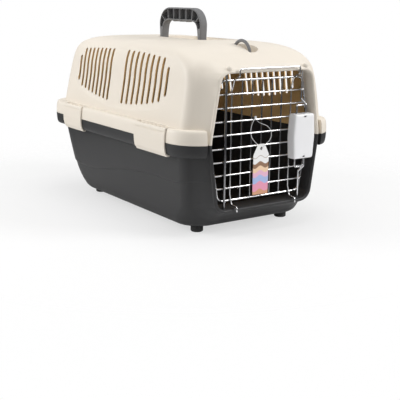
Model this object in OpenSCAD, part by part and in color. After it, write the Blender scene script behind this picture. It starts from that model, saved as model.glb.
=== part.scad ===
// Travel carrier for birds and other small pets: a two-part moulded shell with a wire door.
// Millimetres. The door faces -Y, the length runs along Y, the width along X and Z is up.
// The origin is the middle of the footprint, at the level that the feet stand on.

/* [Shell] */
// Length over the rim, front to back
rim_length = 476; // [440:1:520]
// Width over the rim
rim_width = 302; // [290:1:330]
// Height of the joint between the tub and the top shell
parting_z = 148.5; // [144:0.5:154]
// Height of the roof of the top shell
roof_z = 292; // [280:1:310]
// Wall of both shells
wall = 2.6; // [2:0.1:3.2]
// Radius of the rim corners, seen from above
rim_corner = 52; // [40:1:64]
// Height of the band on the top shell's rim
top_band = 22; // [18:1:24]
// Height of the band on the tub's rim
tub_band = 19; // [18:1:22]
// How far the rim stands out from the walls
rim_out = 13; // [11:0.5:15]

/* [Feet] */
// Diameter of a foot
foot_d = 20; // [16:1:24]
// Height of the tub's floor above the ground
foot_h = 12; // [8:0.5:13]
// Feet from the middle, across
foot_x = 86; // [78:1:88]
// Front feet from the middle
foot_front = 172; // [150:1:174]
// Rear feet from the middle
foot_rear = 148; // [120:1:150]

/* [Doorway] */
// Bottom of the doorway
door_low = 46; // [42:1:52]
// Top of the doorway
door_high = 252; // [246:1:256]
// Half width of the doorway where it is widest, at the joint
door_mid_half = 104; // [98:1:106]
// Half width of the doorway at its top
door_top_half = 86; // [82:1:92]
// Half width of the doorway at its bottom
door_low_half = 89; // [84:1:94]
// Corner radius of the doorway
door_corner = 16; // [12:1:20]
// Thickness of the frame round the doorway
lip = 5.5; // [4:0.5:7]
// Depth of the frame, front to back
lip_depth = 28; // [27:1:30]
// How far the front of the doorway frame stands behind the front of the rim
lip_front = 3; // [-2:0.5:8]

/* [Vents] */
// Vent slots in each of the four groups
slot_count = 9; // [6:1:10]
// Width of a vent slot
slot_w = 5.6; // [4:0.1:6.5]
// Pitch of the rear slots
slot_pitch_rear = 13.8; // [12:0.2:14.4]
// Pitch of the front slots
slot_pitch_front = 16; // [13:0.2:16.2]
// Lean of a slot towards the front, over its height
slot_lean = 2; // [0:0.5:8]

/* [Clips] */
// Length of a front clip along the rim
clip_front_length = 89; // [70:1:91]
// Length of a rear clip along the rim
clip_rear_length = 68; // [60:1:80]
// Wall of a side clip
clip_wall = 2.4; // [2:0.1:3]
// Clearance round a closed clip
clip_gap = 0.4; // [0.3:0.1:0.8]
// Middle of the front clips from the middle of the carrier
clip_front_y = -135.5; // [-136:0.5:-120]
// Middle of the rear clips
clip_rear_y = 129; // [110:1:140]

/* [Handle] */
// Length of the carry handle, front to back
handle_length = 125; // [115:1:130]
// Thickness of the handle, side to side
handle_t = 14; // [12:1:16]
// Top of the handle above the roof
handle_rise = 50.5; // [48:0.5:56]
// Middle of the handle along the carrier
handle_y = -4.5; // [-8:0.5:4]
// Depth of the recess that the handle folds into
recess_depth = 18; // [17:1:20]

/* [Strap rings] */
// Thickness of a strap ring
ring_d = 5; // [4:0.5:5.5]
// Width of a strap ring along the carrier
ring_w = 47; // [42:1:48]
// Front ring from the middle of the carrier
ring_front_y = -165; // [-168:0.5:-160]
// Rear ring from the middle of the carrier
ring_rear_y = 150; // [144:1:152]
// Height of the front ring's pivot
ring_front_z = 274; // [273:0.5:276]
// Height of the rear ring's pivot
ring_rear_z = 280; // [278:0.5:281]

/* [Door] */
// Wires across the door
row_count = 10; // [8:1:12]
// Pitch of the wires across
row_pitch = 20.5; // [16:0.5:22]
// Upright wires of the door
column_count = 7; // [5:2:7]
// Pitch of the upright wires
column_pitch = 19.5; // [17:0.5:20]
// Lowest wire across the door
row_low = 56.5; // [54:0.5:60]
// Diameter of the mesh wires
wire_d = 2.6; // [2:0.1:3]
// Diameter of the door's edge wire
edge_d = 3.6; // [3:0.1:4]
// Diameter of the hinge rod
rod_d = 4; // [3.6:0.1:4.4]
// Diameter of the two bolts
bolt_d = 3.2; // [2.8:0.1:3.4]
// Hinge rod from the middle of the door
hinge_x = -73.5; // [-76:0.5:-72]
// Bolts from the middle of the door
bolt_x = 75; // [73:0.5:76]
// Gap between the door's edge wire and the doorway at its widest
door_gap = 6; // [5:0.5:8]

/* [Latch] */
// Width of the latch box
latch_w = 45; // [40:1:46]
// Height of the latch box
latch_h = 72; // [66:1:76]
// Depth of the latch box
latch_t = 16; // [15:0.5:18]
// Wall of the latch box
latch_wall = 1.6; // [1.4:0.1:2]

/* [Swing tag] */
// Width of the tag card
tag_w = 30.5; // [26:0.5:34]
// Height of the tag card
tag_h = 80; // [60:1:81]
// Thickness of the tag card
tag_t = 0.8; // [0.6:0.1:1.2]

/* [Hidden] */

// Colours
CREAM = [0.90, 0.86, 0.79];
CHARCOAL = [0.20, 0.20, 0.21];
GREY = [0.33, 0.33, 0.34];
CHROME = [0.72, 0.73, 0.75];
STEEL = [0.42, 0.43, 0.45];
WHITE = [0.94, 0.94, 0.95];
BLACK = [0.09, 0.09, 0.09];
CLEAR = [0.85, 0.87, 0.88];

// Small lengths that several pieces share
eps = 0.01;
play = 0.3;
running_play = 0.1;
corner_steps = 7;

// Rim and walls
rim_half = rim_width / 2;
rim_reach = rim_length / 2;
wall_half = rim_half - rim_out;
wall_reach = rim_reach - rim_out;

// Levels of the top shell: share of the rise from the joint to the roof, then how far the
// side, the front and the rear have drawn in from the wall at the joint, and the corner radius.
DOME = [
    [0.00, 0.0, 0, 0, 46],
    [0.16, 1.5, 0, 2, 46],
    [0.35, 5.5, 1, 6, 45],
    [0.56, 10.5, 3, 11, 44],
    [0.70, 13.5, 7, 16, 44],
    [0.80, 16.5, 14, 21, 44],
    [0.875, 20.5, 26, 28, 44],
    [0.93, 28.5, 43, 38, 44],
    [0.967, 41.5, 64, 52, 43],
    [0.988, 61.0, 90, 72, 40],
    [1.00, 92.0, 120, 100, 30]
];

// Levels of the tub, floor first: share of the drop from the joint, then the same insets.
TUB = [
    [1.00, 28.0, 33, 58, 36],
    [0.985, 24.5, 28, 52, 40],
    [0.95, 20.5, 23, 45, 43],
    [0.88, 16.5, 18, 36, 46],
    [0.77, 13.0, 14, 27, 46],
    [0.62, 10.0, 10, 19, 46],
    [0.40, 6.5, 6, 11, 46],
    [0.18, 3.0, 3, 4.5, 46],
    [0.00, 0.0, 0, 0, 46]
];

dome_rise = roof_z - parting_z;
tub_drop = parting_z - foot_h;

// One level as [z, half width, front reach, rear reach, corner radius], drawn in by inset
function dome_level(row, inset) = [
    parting_z + row[0] * dome_rise - (row[0] == 0 ? 0 : inset * row[0]),
    wall_half - row[1] - inset,
    wall_reach - row[2] - inset,
    wall_reach - row[3] - inset,
    row[4] - inset
];
function tub_level(row, inset) = [
    parting_z - row[0] * tub_drop + (row[0] == 0 ? 0 : inset * row[0]),
    wall_half - row[1] - inset,
    wall_reach - row[2] - inset,
    wall_reach - row[3] - inset,
    row[4] - inset
];

// Points of one level: a rectangle with round corners, from the rear right corner round to the left
function level_points(level) = [
    for (corner = [0:3], step = [0:corner_steps])
        let (
            angle = 90 * corner + 90 * step / corner_steps,
            side = (corner == 0 || corner == 3) ? 1 : -1,
            reach = corner < 2 ? level[3] - level[4] : -(level[2] - level[4])
        )
        [
            side * (level[1] - level[4]) + level[4] * cos(angle),
            reach + level[4] * sin(angle),
            level[0]
        ]
];

// A closed body through a stack of levels, lowest first
module loft(levels) {
    count = 4 * (corner_steps + 1);
    last = len(levels) - 1;
    polyhedron(
        points = [for (level = levels) each level_points(level)],
        faces = concat(
            [[for (i = [0:count - 1]) i]],
            [
                for (k = [0:last - 1], i = [0:count - 1])
                    let (a = k * count + i, b = k * count + (i + 1) % count)
                    each [[a, a + count, b + count], [a, b + count, b]]
            ],
            [[for (i = [count - 1:-1:0]) last * count + i]]
        )
    );
}

module dome_body(inset) {
    loft([for (row = DOME) dome_level(row, inset)]);
}

module tub_body(inset) {
    loft([for (row = TUB) tub_level(row, inset)]);
}

// Doorway
door_mid_z = parting_z;
lip_y = lip_front - rim_reach;
function door_outline(grow) = [
    [-door_low_half - grow, door_low - grow],
    [door_low_half + grow, door_low - grow],
    [door_mid_half + grow, door_mid_z],
    [door_top_half + grow, door_high + grow],
    [-door_top_half - grow, door_high + grow],
    [-door_mid_half - grow, door_mid_z]
];
door_radii = [door_corner, door_corner, 60, door_corner, door_corner, 60];

// Rounds the corners of an outline with the given radii
function unit(v) = v / norm(v);
function round_outline(points, radii, steps) = [
    for (i = [0:len(points) - 1])
        let (
            n = len(points),
            here = points[i],
            back = unit(points[(i + n - 1) % n] - here),
            ahead = unit(points[(i + 1) % n] - here),
            half = acos(back * ahead) / 2,
            run = radii[i] / tan(half),
            centre = here + unit(back + ahead) * radii[i] / sin(half),
            first = here + back * run,
            last = here + ahead * run,
            a0 = atan2(first[1] - centre[1], first[0] - centre[0]),
            a1 = atan2(last[1] - centre[1], last[0] - centre[0]),
            turn = a1 - a0 > 180 ? a1 - a0 - 360 : (a1 - a0 < -180 ? a1 - a0 + 360 : a1 - a0)
        )
        for (s = [0:steps])
            let (angle = a0 + turn * s / steps)
            [centre[0] + radii[i] * cos(angle), centre[1] + radii[i] * sin(angle)]
];
function doorway(grow) = round_outline(door_outline(grow), [for (r = door_radii) r + grow], 6);

// An outline drawn in X and Z, pushed from y_front back to y_rear
module slab(y_front, y_rear) {
    translate([0, y_rear, 0]) rotate([90, 0, 0]) linear_extrude(y_rear - y_front) children();
}

module doorway_prism(grow, y_front, y_rear) {
    slab(y_front, y_rear) polygon(doorway(grow));
}

// A bent wire along points: rings of sides set square to the path
function path_tangent(p, i) = unit(
    (i < len(p) - 1 ? unit(p[i + 1] - p[i]) : [0, 0, 0]) + (i > 0 ? unit(p[i] - p[i - 1]) : [0, 0, 0])
);
function square_to(t, guide) = unit(guide - t * (guide * t));
function guides(p, i, guide) = let (g = square_to(path_tangent(p, i), guide))
    i == len(p) - 1 ? [g] : concat([g], guides(p, i + 1, g));

module swept_wire(p, d, sides = 10, first_guide = [0.1, 1, 0.2]) {
    g = guides(p, 0, first_guide);
    n = len(p);
    polyhedron(
        points = [
            for (i = [0:n - 1], k = [0:sides - 1])
                let (t = path_tangent(p, i), side = cross(t, g[i]), angle = 360 * k / sides)
                p[i] + d / 2 * (g[i] * cos(angle) + side * sin(angle))
        ],
        faces = concat(
            [[for (k = [sides - 1:-1:0]) k]],
            [
                for (i = [0:n - 2], k = [0:sides - 1])
                    let (a = i * sides + k, b = i * sides + (k + 1) % sides)
                    each [[a, b, b + sides], [a, b + sides, a + sides]]
            ],
            [[for (k = [0:sides - 1]) (n - 1) * sides + k]]
        )
    );
}

// A closed wire ring along points
module swept_ring(p, d, sides = 10, guide = [0, 1, 0]) {
    n = len(p);
    polyhedron(
        points = [
            for (i = [0:n - 1], k = [0:sides - 1])
                let (
                    t = unit(unit(p[(i + 1) % n] - p[i]) + unit(p[i] - p[(i + n - 1) % n])),
                    g = square_to(t, guide),
                    side = cross(t, g),
                    angle = 360 * k / sides
                )
                p[i] + d / 2 * (g * cos(angle) + side * sin(angle))
        ],
        faces = [
            for (i = [0:n - 1], k = [0:sides - 1])
                let (
                    j = (i + 1) % n,
                    a = i * sides + k,
                    b = i * sides + (k + 1) % sides,
                    c = j * sides + k,
                    e = j * sides + (k + 1) % sides
                )
                each [[a, b, e], [a, e, c]]
        ]
    );
}

// Points of an open path with its bends rounded to arcs of a few points
function bend_points(p, radius, steps) = concat(
    [p[0]],
    [
        for (i = [1:len(p) - 2])
            let (
                back = unit(p[i - 1] - p[i]),
                ahead = unit(p[i + 1] - p[i]),
                half = acos(back * ahead) / 2,
                run = radius / tan(half),
                centre = p[i] + unit(back + ahead) * radius / sin(half),
                a = p[i] + back * run - centre,
                b = p[i] + ahead * run - centre,
                sweep = acos(a * b / (radius * radius)),
                w = unit(b - a * cos(sweep))
            )
            for (s = [0:steps])
                let (angle = sweep * s / steps)
                centre + a * cos(angle) + w * radius * sin(angle)
    ],
    [p[len(p) - 1]]
);

// Rim bands: share of the band's height away from the joint, and how far it has drawn in
BAND = [[0, 0], [0.45, 0.5], [0.75, 1.4], [0.92, 2.6], [1, 4.4]];
rim_top = parting_z + top_band;
rim_bottom = parting_z - tub_band;

function band_level(row, direction, height, inset) = [
    parting_z + direction * row[0] * height,
    rim_half - row[1] - inset,
    rim_reach - row[1] - inset,
    rim_reach - row[1] - inset,
    rim_corner - row[1] - inset
];

// One band, upwards from the joint with direction 1 and downwards with -1
module rim_ring(direction, height, inset) {
    levels = [for (row = BAND) band_level(row, direction, height, inset)];
    last = len(BAND) - 1;
    loft([for (i = [0:last]) levels[direction > 0 ? i : last - i]]);
}

// Where the rim stops on both sides of the doorway
rim_end_x = 113;
rim_end_run = 40;
module rim_stop(grow) {
    translate([-rim_end_x - grow, -rim_reach - eps, 0]) cube([2 * (rim_end_x + grow), rim_end_run, roof_z]);
}

// Hollow of a band, open at the joint
module rim_hollow(direction, height) {
    difference() {
        translate([0, 0, -direction * eps]) rim_ring(direction, height - wall, wall);
        rim_stop(wall);
        children();
    }
}

// Vent slots
slot_floor_z = parting_z + 0.291 * dome_rise;
slot_top_z = roof_z - 20;
slot_drop = 0.00028;
slot_climb = 0.00092;
slot_end_cut = 12;
slot_rear_first = 34.5;
slot_front_first = -15.5;
slot_inner_x = 70;
module slot(y, short) {
    low = slot_floor_z + slot_climb * y * y + (short ? slot_end_cut / 2 : 0);
    high = slot_top_z - slot_drop * y * y - (short ? slot_end_cut : 0);
    angle = atan(slot_lean / (high - low));
    translate([y, low]) rotate(angle) {
        translate([-slot_w / 2, 0]) square([slot_w, high - low]);
        circle(d = slot_w, $fn = 32);
        translate([0, high - low]) circle(d = slot_w, $fn = 32);
    }
}

module vent_slots() {
    for (side = [-1, 1])
        translate([side > 0 ? slot_inner_x : -rim_half, 0, 0])
            rotate([90, 0, 90]) linear_extrude(rim_half - slot_inner_x) {
                for (i = [0:slot_count - 1]) {
                    slot(slot_rear_first + i * slot_pitch_rear, i == slot_count - 1);
                    slot(slot_front_first - i * slot_pitch_front, i == slot_count - 1);
                }
            }
}

// Side clips: each turns on a pin in a notch of the top band and hooks under the tub's band
clip_pin_d = 4;
clip_knuckle_r = 4.2;
clip_pin_x = rim_half - 5.5;
clip_pin_z = rim_top - 4.5;
clip_swing_r = 6.6;
clip_notch_in = 5.2;
clip_notch_down = 4.7;
clip_notch_end = 0.5;
clip_hook_gap = 0.5;
clip_hook_reach = 8.5;
clip_plate_top = clip_pin_z - 2.5;

function band_inset_at(z) = lookup(
    z > parting_z ? (z - parting_z) / top_band : (parting_z - z) / tub_band, BAND
);
function clip_inner(z) = rim_half - band_inset_at(z) + clip_gap;

module for_clip(side, y) {
    translate([0, y, 0]) mirror([side < 0 ? 1 : 0, 0, 0]) children();
}

module clip_section() {
    hook_top = rim_bottom - clip_hook_gap;
    heights = concat(
        [clip_plate_top, parting_z + BAND[1][0] * top_band],
        [for (row = BAND) parting_z - row[0] * tub_band],
        [hook_top]
    );
    last = len(heights) - 1;
    polygon(concat(
        [for (z = heights) [clip_inner(z), z]],
        [
            [rim_half - clip_hook_reach, hook_top],
            [rim_half - clip_hook_reach + 1, hook_top - clip_wall],
            [clip_inner(hook_top) + clip_wall - 1.2, hook_top - clip_wall]
        ],
        [for (i = [0:last]) [clip_inner(heights[last - i]) + clip_wall, heights[last - i]]]
    ));
    translate([clip_pin_x, clip_pin_z]) {
        circle(r = clip_knuckle_r, $fn = 40);
        intersection() {
            circle(r = clip_swing_r, $fn = 48);
            translate([0, -3]) square([clip_swing_r, 3 + clip_knuckle_r]);
        }
    }
}

module clip(side, y, length) {
    color(CREAM)
        for_clip(side, y)
            difference() {
                translate([0, length / 2, 0]) rotate([90, 0, 0]) linear_extrude(length) clip_section();
                translate([clip_pin_x, length / 2 + 1, clip_pin_z])
                    rotate([90, 0, 0]) cylinder(h = length + 2, d = clip_pin_d + running_play, $fn = 40);
            }
}

module clip_block(side, y, length) {
    half = length / 2 + clip_notch_end + wall;
    low = clip_pin_z - clip_notch_down - wall;
    for_clip(side, y)
        translate([wall_half - wall, -half, low])
            cube([rim_half - 2 - wall_half + wall, 2 * half, rim_top - 0.6 - low]);
}

module clip_notch(side, y, length) {
    half = length / 2 + clip_notch_end;
    for_clip(side, y)
        translate([clip_pin_x - clip_notch_in, -half, clip_pin_z - clip_notch_down])
            cube([20, 2 * half, 20]);
}

module clip_pin(side, y, length) {
    half = length / 2 + clip_notch_end + 1;
    for_clip(side, y)
        translate([clip_pin_x, half, clip_pin_z]) rotate([90, 0, 0]) cylinder(h = 2 * half, d = clip_pin_d, $fn = 40);
}

CLIPS = [
    [-1, clip_front_y, clip_front_length],
    [1, clip_front_y, clip_front_length],
    [-1, clip_rear_y, clip_rear_length],
    [1, clip_rear_y, clip_rear_length]
];

// Handle: half of its middle line from a foot to the top, as [out, up from the pivot, width]
pivot_z = roof_z - 7;
handle_x = -5;
handle_pin_d = 6;
handle_pin_run = 4.6;
handle_wide = handle_length / 125;
handle_tall = (handle_rise + 7) / 58.75;
HANDLE = [
    [58.5, -6, 8], [58.5, 8, 8], [58.2, 17, 9.5], [57.8, 25, 11.5], [56.3, 33, 14.5],
    [52, 40, 17.5], [45.5, 45, 20], [37, 47.5, 21.5], [28.5, 47.5, 22.5], [19, 47.5, 22.5],
    [9.5, 47.5, 22.5], [0, 47.5, 22.5]
];
handle_last = 2 * len(HANDLE) - 2;
function handle_station(i) =
    let (
        half = len(HANDLE) - 1,
        row = HANDLE[i <= half ? i : handle_last - i],
        side = i < half ? -1 : (i > half ? 1 : 0)
    )
    [side * row[0] * handle_wide, row[1] * handle_tall, row[2]];
function flat(v) = [v[0], v[1]];
function handle_tangent(i) =
    unit(flat(handle_station(min(i + 1, handle_last))) - flat(handle_station(max(i - 1, 0))));
function handle_side(i, out) =
    let (t = handle_tangent(i)) flat(handle_station(i)) + [-t[1], t[0]] * out;
function handle_edge(i, share, inset) = handle_side(i, share * (handle_station(i)[2] / 2 - inset));
handle_scallop_pitch = 19;
handle_scallop_depth = 2;
handle_open_first = 3;
handle_open_depth = 9;
handle_edge_wall = 2.2;
handle_rib_t = 1.6;
handle_first_flat = 7;
function scallop_at(y) = handle_scallop_depth * abs(sin(180 * y / handle_scallop_pitch)) - handle_scallop_depth / 2;

module handle_outline() {
    flat_last = handle_last - handle_first_flat;
    y_end = handle_station(flat_last)[0];
    z_under = handle_station(11)[1] - HANDLE[11][2] / 2;
    polygon(concat(
        [for (i = [0:handle_last]) handle_edge(i, 1, 0)],
        [for (i = [handle_last:-1:flat_last + 1]) handle_edge(i, -1, 0)],
        [for (k = [24:-1:-24]) let (y = k * y_end / 24) [y, z_under + scallop_at(y / handle_wide)]],
        [for (i = [handle_first_flat - 1:-1:0]) handle_edge(i, -1, 0)]
    ));
}

module handle_hollow() {
    a = handle_open_first;
    b = handle_last - handle_open_first;
    polygon(concat(
        [for (i = [a:b]) handle_edge(i, 1, handle_edge_wall)],
        [for (i = [b:-1:a]) handle_edge(i, -1, handle_edge_wall + (i > 6 && i < 16 ? 1 : 0))]
    ));
}

module handle_ribs() {
    for (i = [handle_open_first + 2:2:handle_last - handle_open_first - 2]) {
        t = handle_tangent(i) * handle_rib_t / 2;
        a = handle_edge(i, 1, 1);
        b = handle_edge(i, -1, 2.5);
        polygon([a + t, a - t, b - t, b + t]);
    }
}

// Draws in Y and Z and pushes along X from x0 to x1
module side_slab(x0, x1) {
    translate([x0, 0, 0]) rotate([90, 0, 90]) linear_extrude(x1 - x0) children();
}

handle_leg_out = (58.5 * handle_wide + 4);
module carry_handle() {
    color(GREY)
        translate([handle_x, handle_y, pivot_z]) {
            difference() {
                side_slab(-handle_t / 2, handle_t / 2) handle_outline();
                side_slab(-handle_t / 2 - 1, -handle_t / 2 + handle_open_depth) handle_hollow();
            }
            side_slab(-handle_t / 2 + 0.8, -handle_t / 2 + handle_open_depth + 1) handle_ribs();
            for (side = [-1, 1])
                translate([0, side > 0 ? handle_leg_out - 2 : -handle_leg_out - handle_pin_run, 0])
                    rotate([-90, 0, 0]) cylinder(h = handle_pin_run + 2, d = handle_pin_d, $fn = 40);
        }
}

// Recess in the roof, with a boss for each of the handle's pins
recess_half = handle_length / 2 + 8.5;
recess_left = handle_x - 10.5;
recess_right = handle_rise + 27;
recess_corner = 12;
handle_boss_half = 6;
handle_boss_top = 4.5;
module recess_space(grow) {
    hull()
        for (x = [recess_left + recess_corner, recess_right - recess_corner])
            for (y = [-recess_half + recess_corner, recess_half - recess_corner])
                translate([x, handle_y + y, roof_z - recess_depth - grow])
                    cylinder(h = recess_depth + 20 + grow, r = recess_corner + grow, $fn = 24);
}

module handle_bosses() {
    for (side = [-1, 1])
        translate([
            handle_x - handle_boss_half,
            handle_y + (side > 0 ? handle_leg_out + play : -recess_half - wall),
            roof_z - recess_depth - wall
        ])
            cube([
                2 * handle_boss_half,
                recess_half + wall - handle_leg_out - play,
                pivot_z + handle_boss_top - roof_z + recess_depth + wall
            ]);
}

module handle_bores() {
    half = handle_leg_out + handle_pin_run + play;
    translate([handle_x, handle_y + half, pivot_z])
        rotate([90, 0, 0]) cylinder(h = 2 * half, d = handle_pin_d + running_play, $fn = 40);
}

// Strap rings: half loops on two stub pins, in D-shaped pockets of the roof
ring_front_tilt = 7;
ring_rear_tilt = -5;
ring_leg = 0.5;
ring_half = (ring_w - ring_d) / 2;
ring_pin_run = 3.5;
ring_pocket_gap = 1;
ring_pocket_left = 3.4;
ring_pocket_floor = ring_d / 2 + 0.9;
ring_boss_half = 5;
ring_boss_run = 2.4;
module ring_place(y, z, tilt) {
    translate([0, y, z]) rotate([tilt, 0, 0]) children();
}

module strap_ring(fold) {
    color(GREY)
        rotate([0, fold, 0]) {
            translate([0, 0, ring_leg])
                rotate([90, 0, 90])
                    rotate_extrude(angle = 180, $fn = 96) translate([ring_half, 0]) circle(d = ring_d, $fn = 64);
            for (side = [-1, 1]) {
                translate([0, side * ring_half, 0]) {
                    cylinder(h = ring_leg, d = ring_d, $fn = 64);
                    sphere(d = ring_d, $fn = 64);
                    rotate([side > 0 ? -90 : 90, 0, 0]) cylinder(h = ring_d / 2 + ring_pin_run, d = ring_d, $fn = 64);
                }
            }
        }
}

module ring_pocket(grow) {
    half = ring_w / 2 + ring_pocket_gap;
    low = -ring_pocket_floor - grow;
    intersection() {
        translate([-ring_pocket_left - grow, -half - grow, low]) cube([60, 2 * (half + grow), 40 - low]);
        union() {
            translate([-ring_pocket_left - grow, -half - grow, low])
                cube([ring_pocket_left + grow + ring_leg, 2 * (half + grow), 40 - low]);
            translate([ring_leg, 0, low]) cylinder(h = 40 - low, r = half + grow, $fn = 64);
        }
    }
}

module ring_boss() {
    half = ring_w / 2 + ring_pocket_gap + wall + ring_boss_run;
    translate([-ring_boss_half, -half, -ring_boss_half]) cube([2 * ring_boss_half, 2 * half, 30]);
}

module ring_bores() {
    half = ring_half + ring_d / 2 + ring_pin_run + play;
    translate([0, half, 0]) rotate([90, 0, 0]) cylinder(h = 2 * half, d = ring_d + running_play, $fn = 40);
}

RINGS = [[ring_front_y, ring_front_z, ring_front_tilt], [ring_rear_y, ring_rear_z, ring_rear_tilt]];

// Door planes and wires
mesh_back = 14;
mesh_y = lip_y + mesh_back;
weld_gap = 0.05;
row_y = mesh_y - wire_d / 2;
column_y = row_y + wire_d + weld_gap;
edge_y = row_y + wire_d / 2 + edge_d / 2 + weld_gap;
rod_y = row_y - wire_d / 2 - rod_d / 2 - weld_gap;
guide_r = bolt_d / 2 + play + wire_d / 2;
bolt_y = row_y - guide_r;
row_high = row_low + (row_count - 1) * row_pitch;
edge_low_half = door_low_half - 8;
edge_mid_half = door_mid_half - door_gap;
edge_top_half = door_top_half - 5;
edge_corner = 12;

function door_edge() = round_outline([
    [-edge_low_half, row_low], [edge_low_half, row_low], [edge_mid_half, door_mid_z],
    [edge_top_half, row_high], [-edge_top_half, row_high], [-edge_mid_half, door_mid_z]
], [edge_corner, edge_corner, 60, edge_corner, edge_corner, 60], 6);
function edge_half_at(z) = lookup(z, [
    [row_low, edge_low_half], [door_mid_z, edge_mid_half - 1], [row_high, edge_top_half]
]);

module door_edge_wire() {
    color(CHROME) swept_ring([for (p = door_edge()) [p[0], edge_y, p[1]]], edge_d);
}

// The cross wires, with the two that curl round the bolts as their guides
guide_rows = [1, row_count - 2];
guide_lift = 1.1;
module door_cross_wires() {
    color(CHROME) {
        for (i = [1:row_count - 2]) {
            z = row_low + i * row_pitch;
            half = edge_half_at(z) + 1;
            translate([-half, row_y, z]) rotate([0, 90, 0]) cylinder(h = 2 * half, d = wire_d, $fn = 48);
        }
        for (i = guide_rows)
            translate([bolt_x, bolt_y, row_low + i * row_pitch + guide_lift])
                rotate_extrude($fn = 96) translate([guide_r, 0]) circle(d = wire_d, $fn = 48);
    }
}

module door_upright_wires() {
    inner = (column_count - 3) / 2;
    trim = edge_d / 2 + weld_gap;
    color(CHROME)
        for (i = [-inner:inner])
            translate([i * column_pitch, column_y, row_low + trim])
                cylinder(h = row_high - row_low - 2 * trim, d = wire_d, $fn = 24);
}

// One wire that makes the outermost uprights, hooks over the sill and bridges the top of the doorway
STAY = [
    [-239.6, 41.5], [-238.6, 49.2], [-225.2, 50.5], [column_y, 66],
    [column_y, row_high - 15], [-225.4, row_high + 1], [-238.4, door_high - 4], [-238.8, door_high + 7]
];
module door_stay_wire() {
    x = (column_count - 1) / 2 * column_pitch;
    last = len(STAY) - 1;
    path = concat(
        [for (p = STAY) [-x, p[0], p[1]]],
        [for (i = [last:-1:0]) [x, STAY[i][0], STAY[i][1]]]
    );
    color(CHROME) swept_wire(bend_points(path, 3, 3), wire_d, 10, [1, 0.1, 0.1]);
}

rod_low = door_low - lip + 0.7;
rod_high = door_high + 3.6;
module hinge_rod() {
    color(STEEL) translate([hinge_x, rod_y, rod_low]) cylinder(h = rod_high - rod_low, d = rod_d, $fn = 32);
}

// Bores in the doorway's frame for the hinge rod and the bolts
module rod_bores() {
    translate([hinge_x, rod_y, 0]) cylinder(h = roof_z, d = rod_d + running_play, $fn = 40);
    translate([bolt_x, bolt_y, 0]) cylinder(h = roof_z, d = bolt_d + 2 * play + 0.2, $fn = 40);
}

// Latch box with its two sprung bolts
latch_x = bolt_x - 2;
latch_low = 112;
latch_mid = latch_low + latch_h / 2;
latch_rear = row_y - wire_d / 2 - play;
latch_front = latch_rear - latch_t;
latch_end_half = latch_w / 2 - 2.5;
function latch_outline(grow) = round_outline([
    [-latch_end_half - grow, -latch_h / 2 - grow], [latch_end_half + grow, -latch_h / 2 - grow],
    [latch_w / 2 + grow, 0],
    [latch_end_half + grow, latch_h / 2 + grow], [-latch_end_half - grow, latch_h / 2 + grow],
    [-latch_w / 2 - grow, 0]
], [3.5, 3.5, 80, 3.5, 3.5, 80], 5);
stem_y = latch_front + latch_t / 2 - 0.3;
stem_right = bolt_x + 5;
stem_left = stem_right - 19;
stem_bar = 20;
loop_out = 13.5;
latch_rib_t = 2;
window_w = 5;
window_h = 2.4;
module stem_slots() {
    for (x = [stem_left, stem_right])
        translate([x - bolt_d / 2 - play, stem_y - bolt_d / 2 - play, latch_mid - latch_h / 2 - 5])
            cube([bolt_d + 2 * play, latch_t, latch_h + 10]);
}

module latch_cover() {
    color(WHITE)
        difference() {
            translate([latch_x, 0, latch_mid]) {
                difference() {
                    slab(latch_front, latch_rear - latch_wall) polygon(latch_outline(0));
                    difference() {
                        slab(latch_front + latch_wall, latch_rear) polygon(latch_outline(-latch_wall));
                        translate([-latch_w / 2, latch_front, -latch_rib_t / 2])
                            cube([latch_w, latch_t - latch_wall - play, latch_rib_t]);
                    }
                    for (side = [-1, 1])
                        translate([-window_w / 2, latch_front - 1, side * (latch_h / 2 - 4) - window_h / 2])
                            cube([window_w, latch_wall + 2, window_h]);
                }
            }
            difference() {
                stem_slots();
                translate([0, latch_front - 1, latch_mid - latch_rib_t / 2 - eps]) cube([200, 40, latch_rib_t + 2 * eps]);
            }
        }
}

claw_w = 3.4;
claw_t = 1.5;
claw_reach = play + wire_d + 2 * weld_gap + claw_t;
claw_top = wire_d / 2 + weld_gap;
// The claws hook over the first and the last cross wire behind the plate
claw_rows = [
    ceil((latch_low + claw_top + claw_t - row_low) / row_pitch),
    floor((latch_low + latch_h - claw_top - claw_t - row_low) / row_pitch)
];
module latch_back() {
    color(WHITE) {
        slab(latch_rear - latch_wall, latch_rear) translate([latch_x, latch_mid]) polygon(latch_outline(0));
        for (x = [latch_x - 7, latch_x + 11])
            for (row = claw_rows) {
                z = row_low + row * row_pitch;
                translate([x, latch_rear - eps, z + claw_top]) cube([claw_w, claw_reach, claw_t]);
                translate([x, latch_rear + claw_reach - claw_t, z - 1]) cube([claw_w, claw_t, 1 + claw_top + claw_t]);
            }
    }
}

// Path of a bolt, upwards with side 1 and downwards with -1
bolt_tip_gap = 0.5;
function bolt_path(side) =
    let (
        tip = side > 0 ? door_high - bolt_tip_gap - 0.4 : door_low + bolt_tip_gap,
        end = latch_mid + side * latch_h / 2,
        bar = latch_mid + side * stem_bar
    )
    [
        [bolt_x, bolt_y, tip],
        [bolt_x, bolt_y, end + side * (loop_out + 9)],
        [stem_right, stem_y, end + side * loop_out],
        [stem_right, stem_y, bar],
        [stem_left, stem_y, bar],
        [stem_left, stem_y, end + side * loop_out],
        [stem_right - bolt_d - play, stem_y, end + side * loop_out]
    ];
module bolt(side) {
    color(STEEL) swept_wire(bend_points(bolt_path(side), 2.4, 3), bolt_d, 12, [1, 0.2, 0.1]);
}

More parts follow.
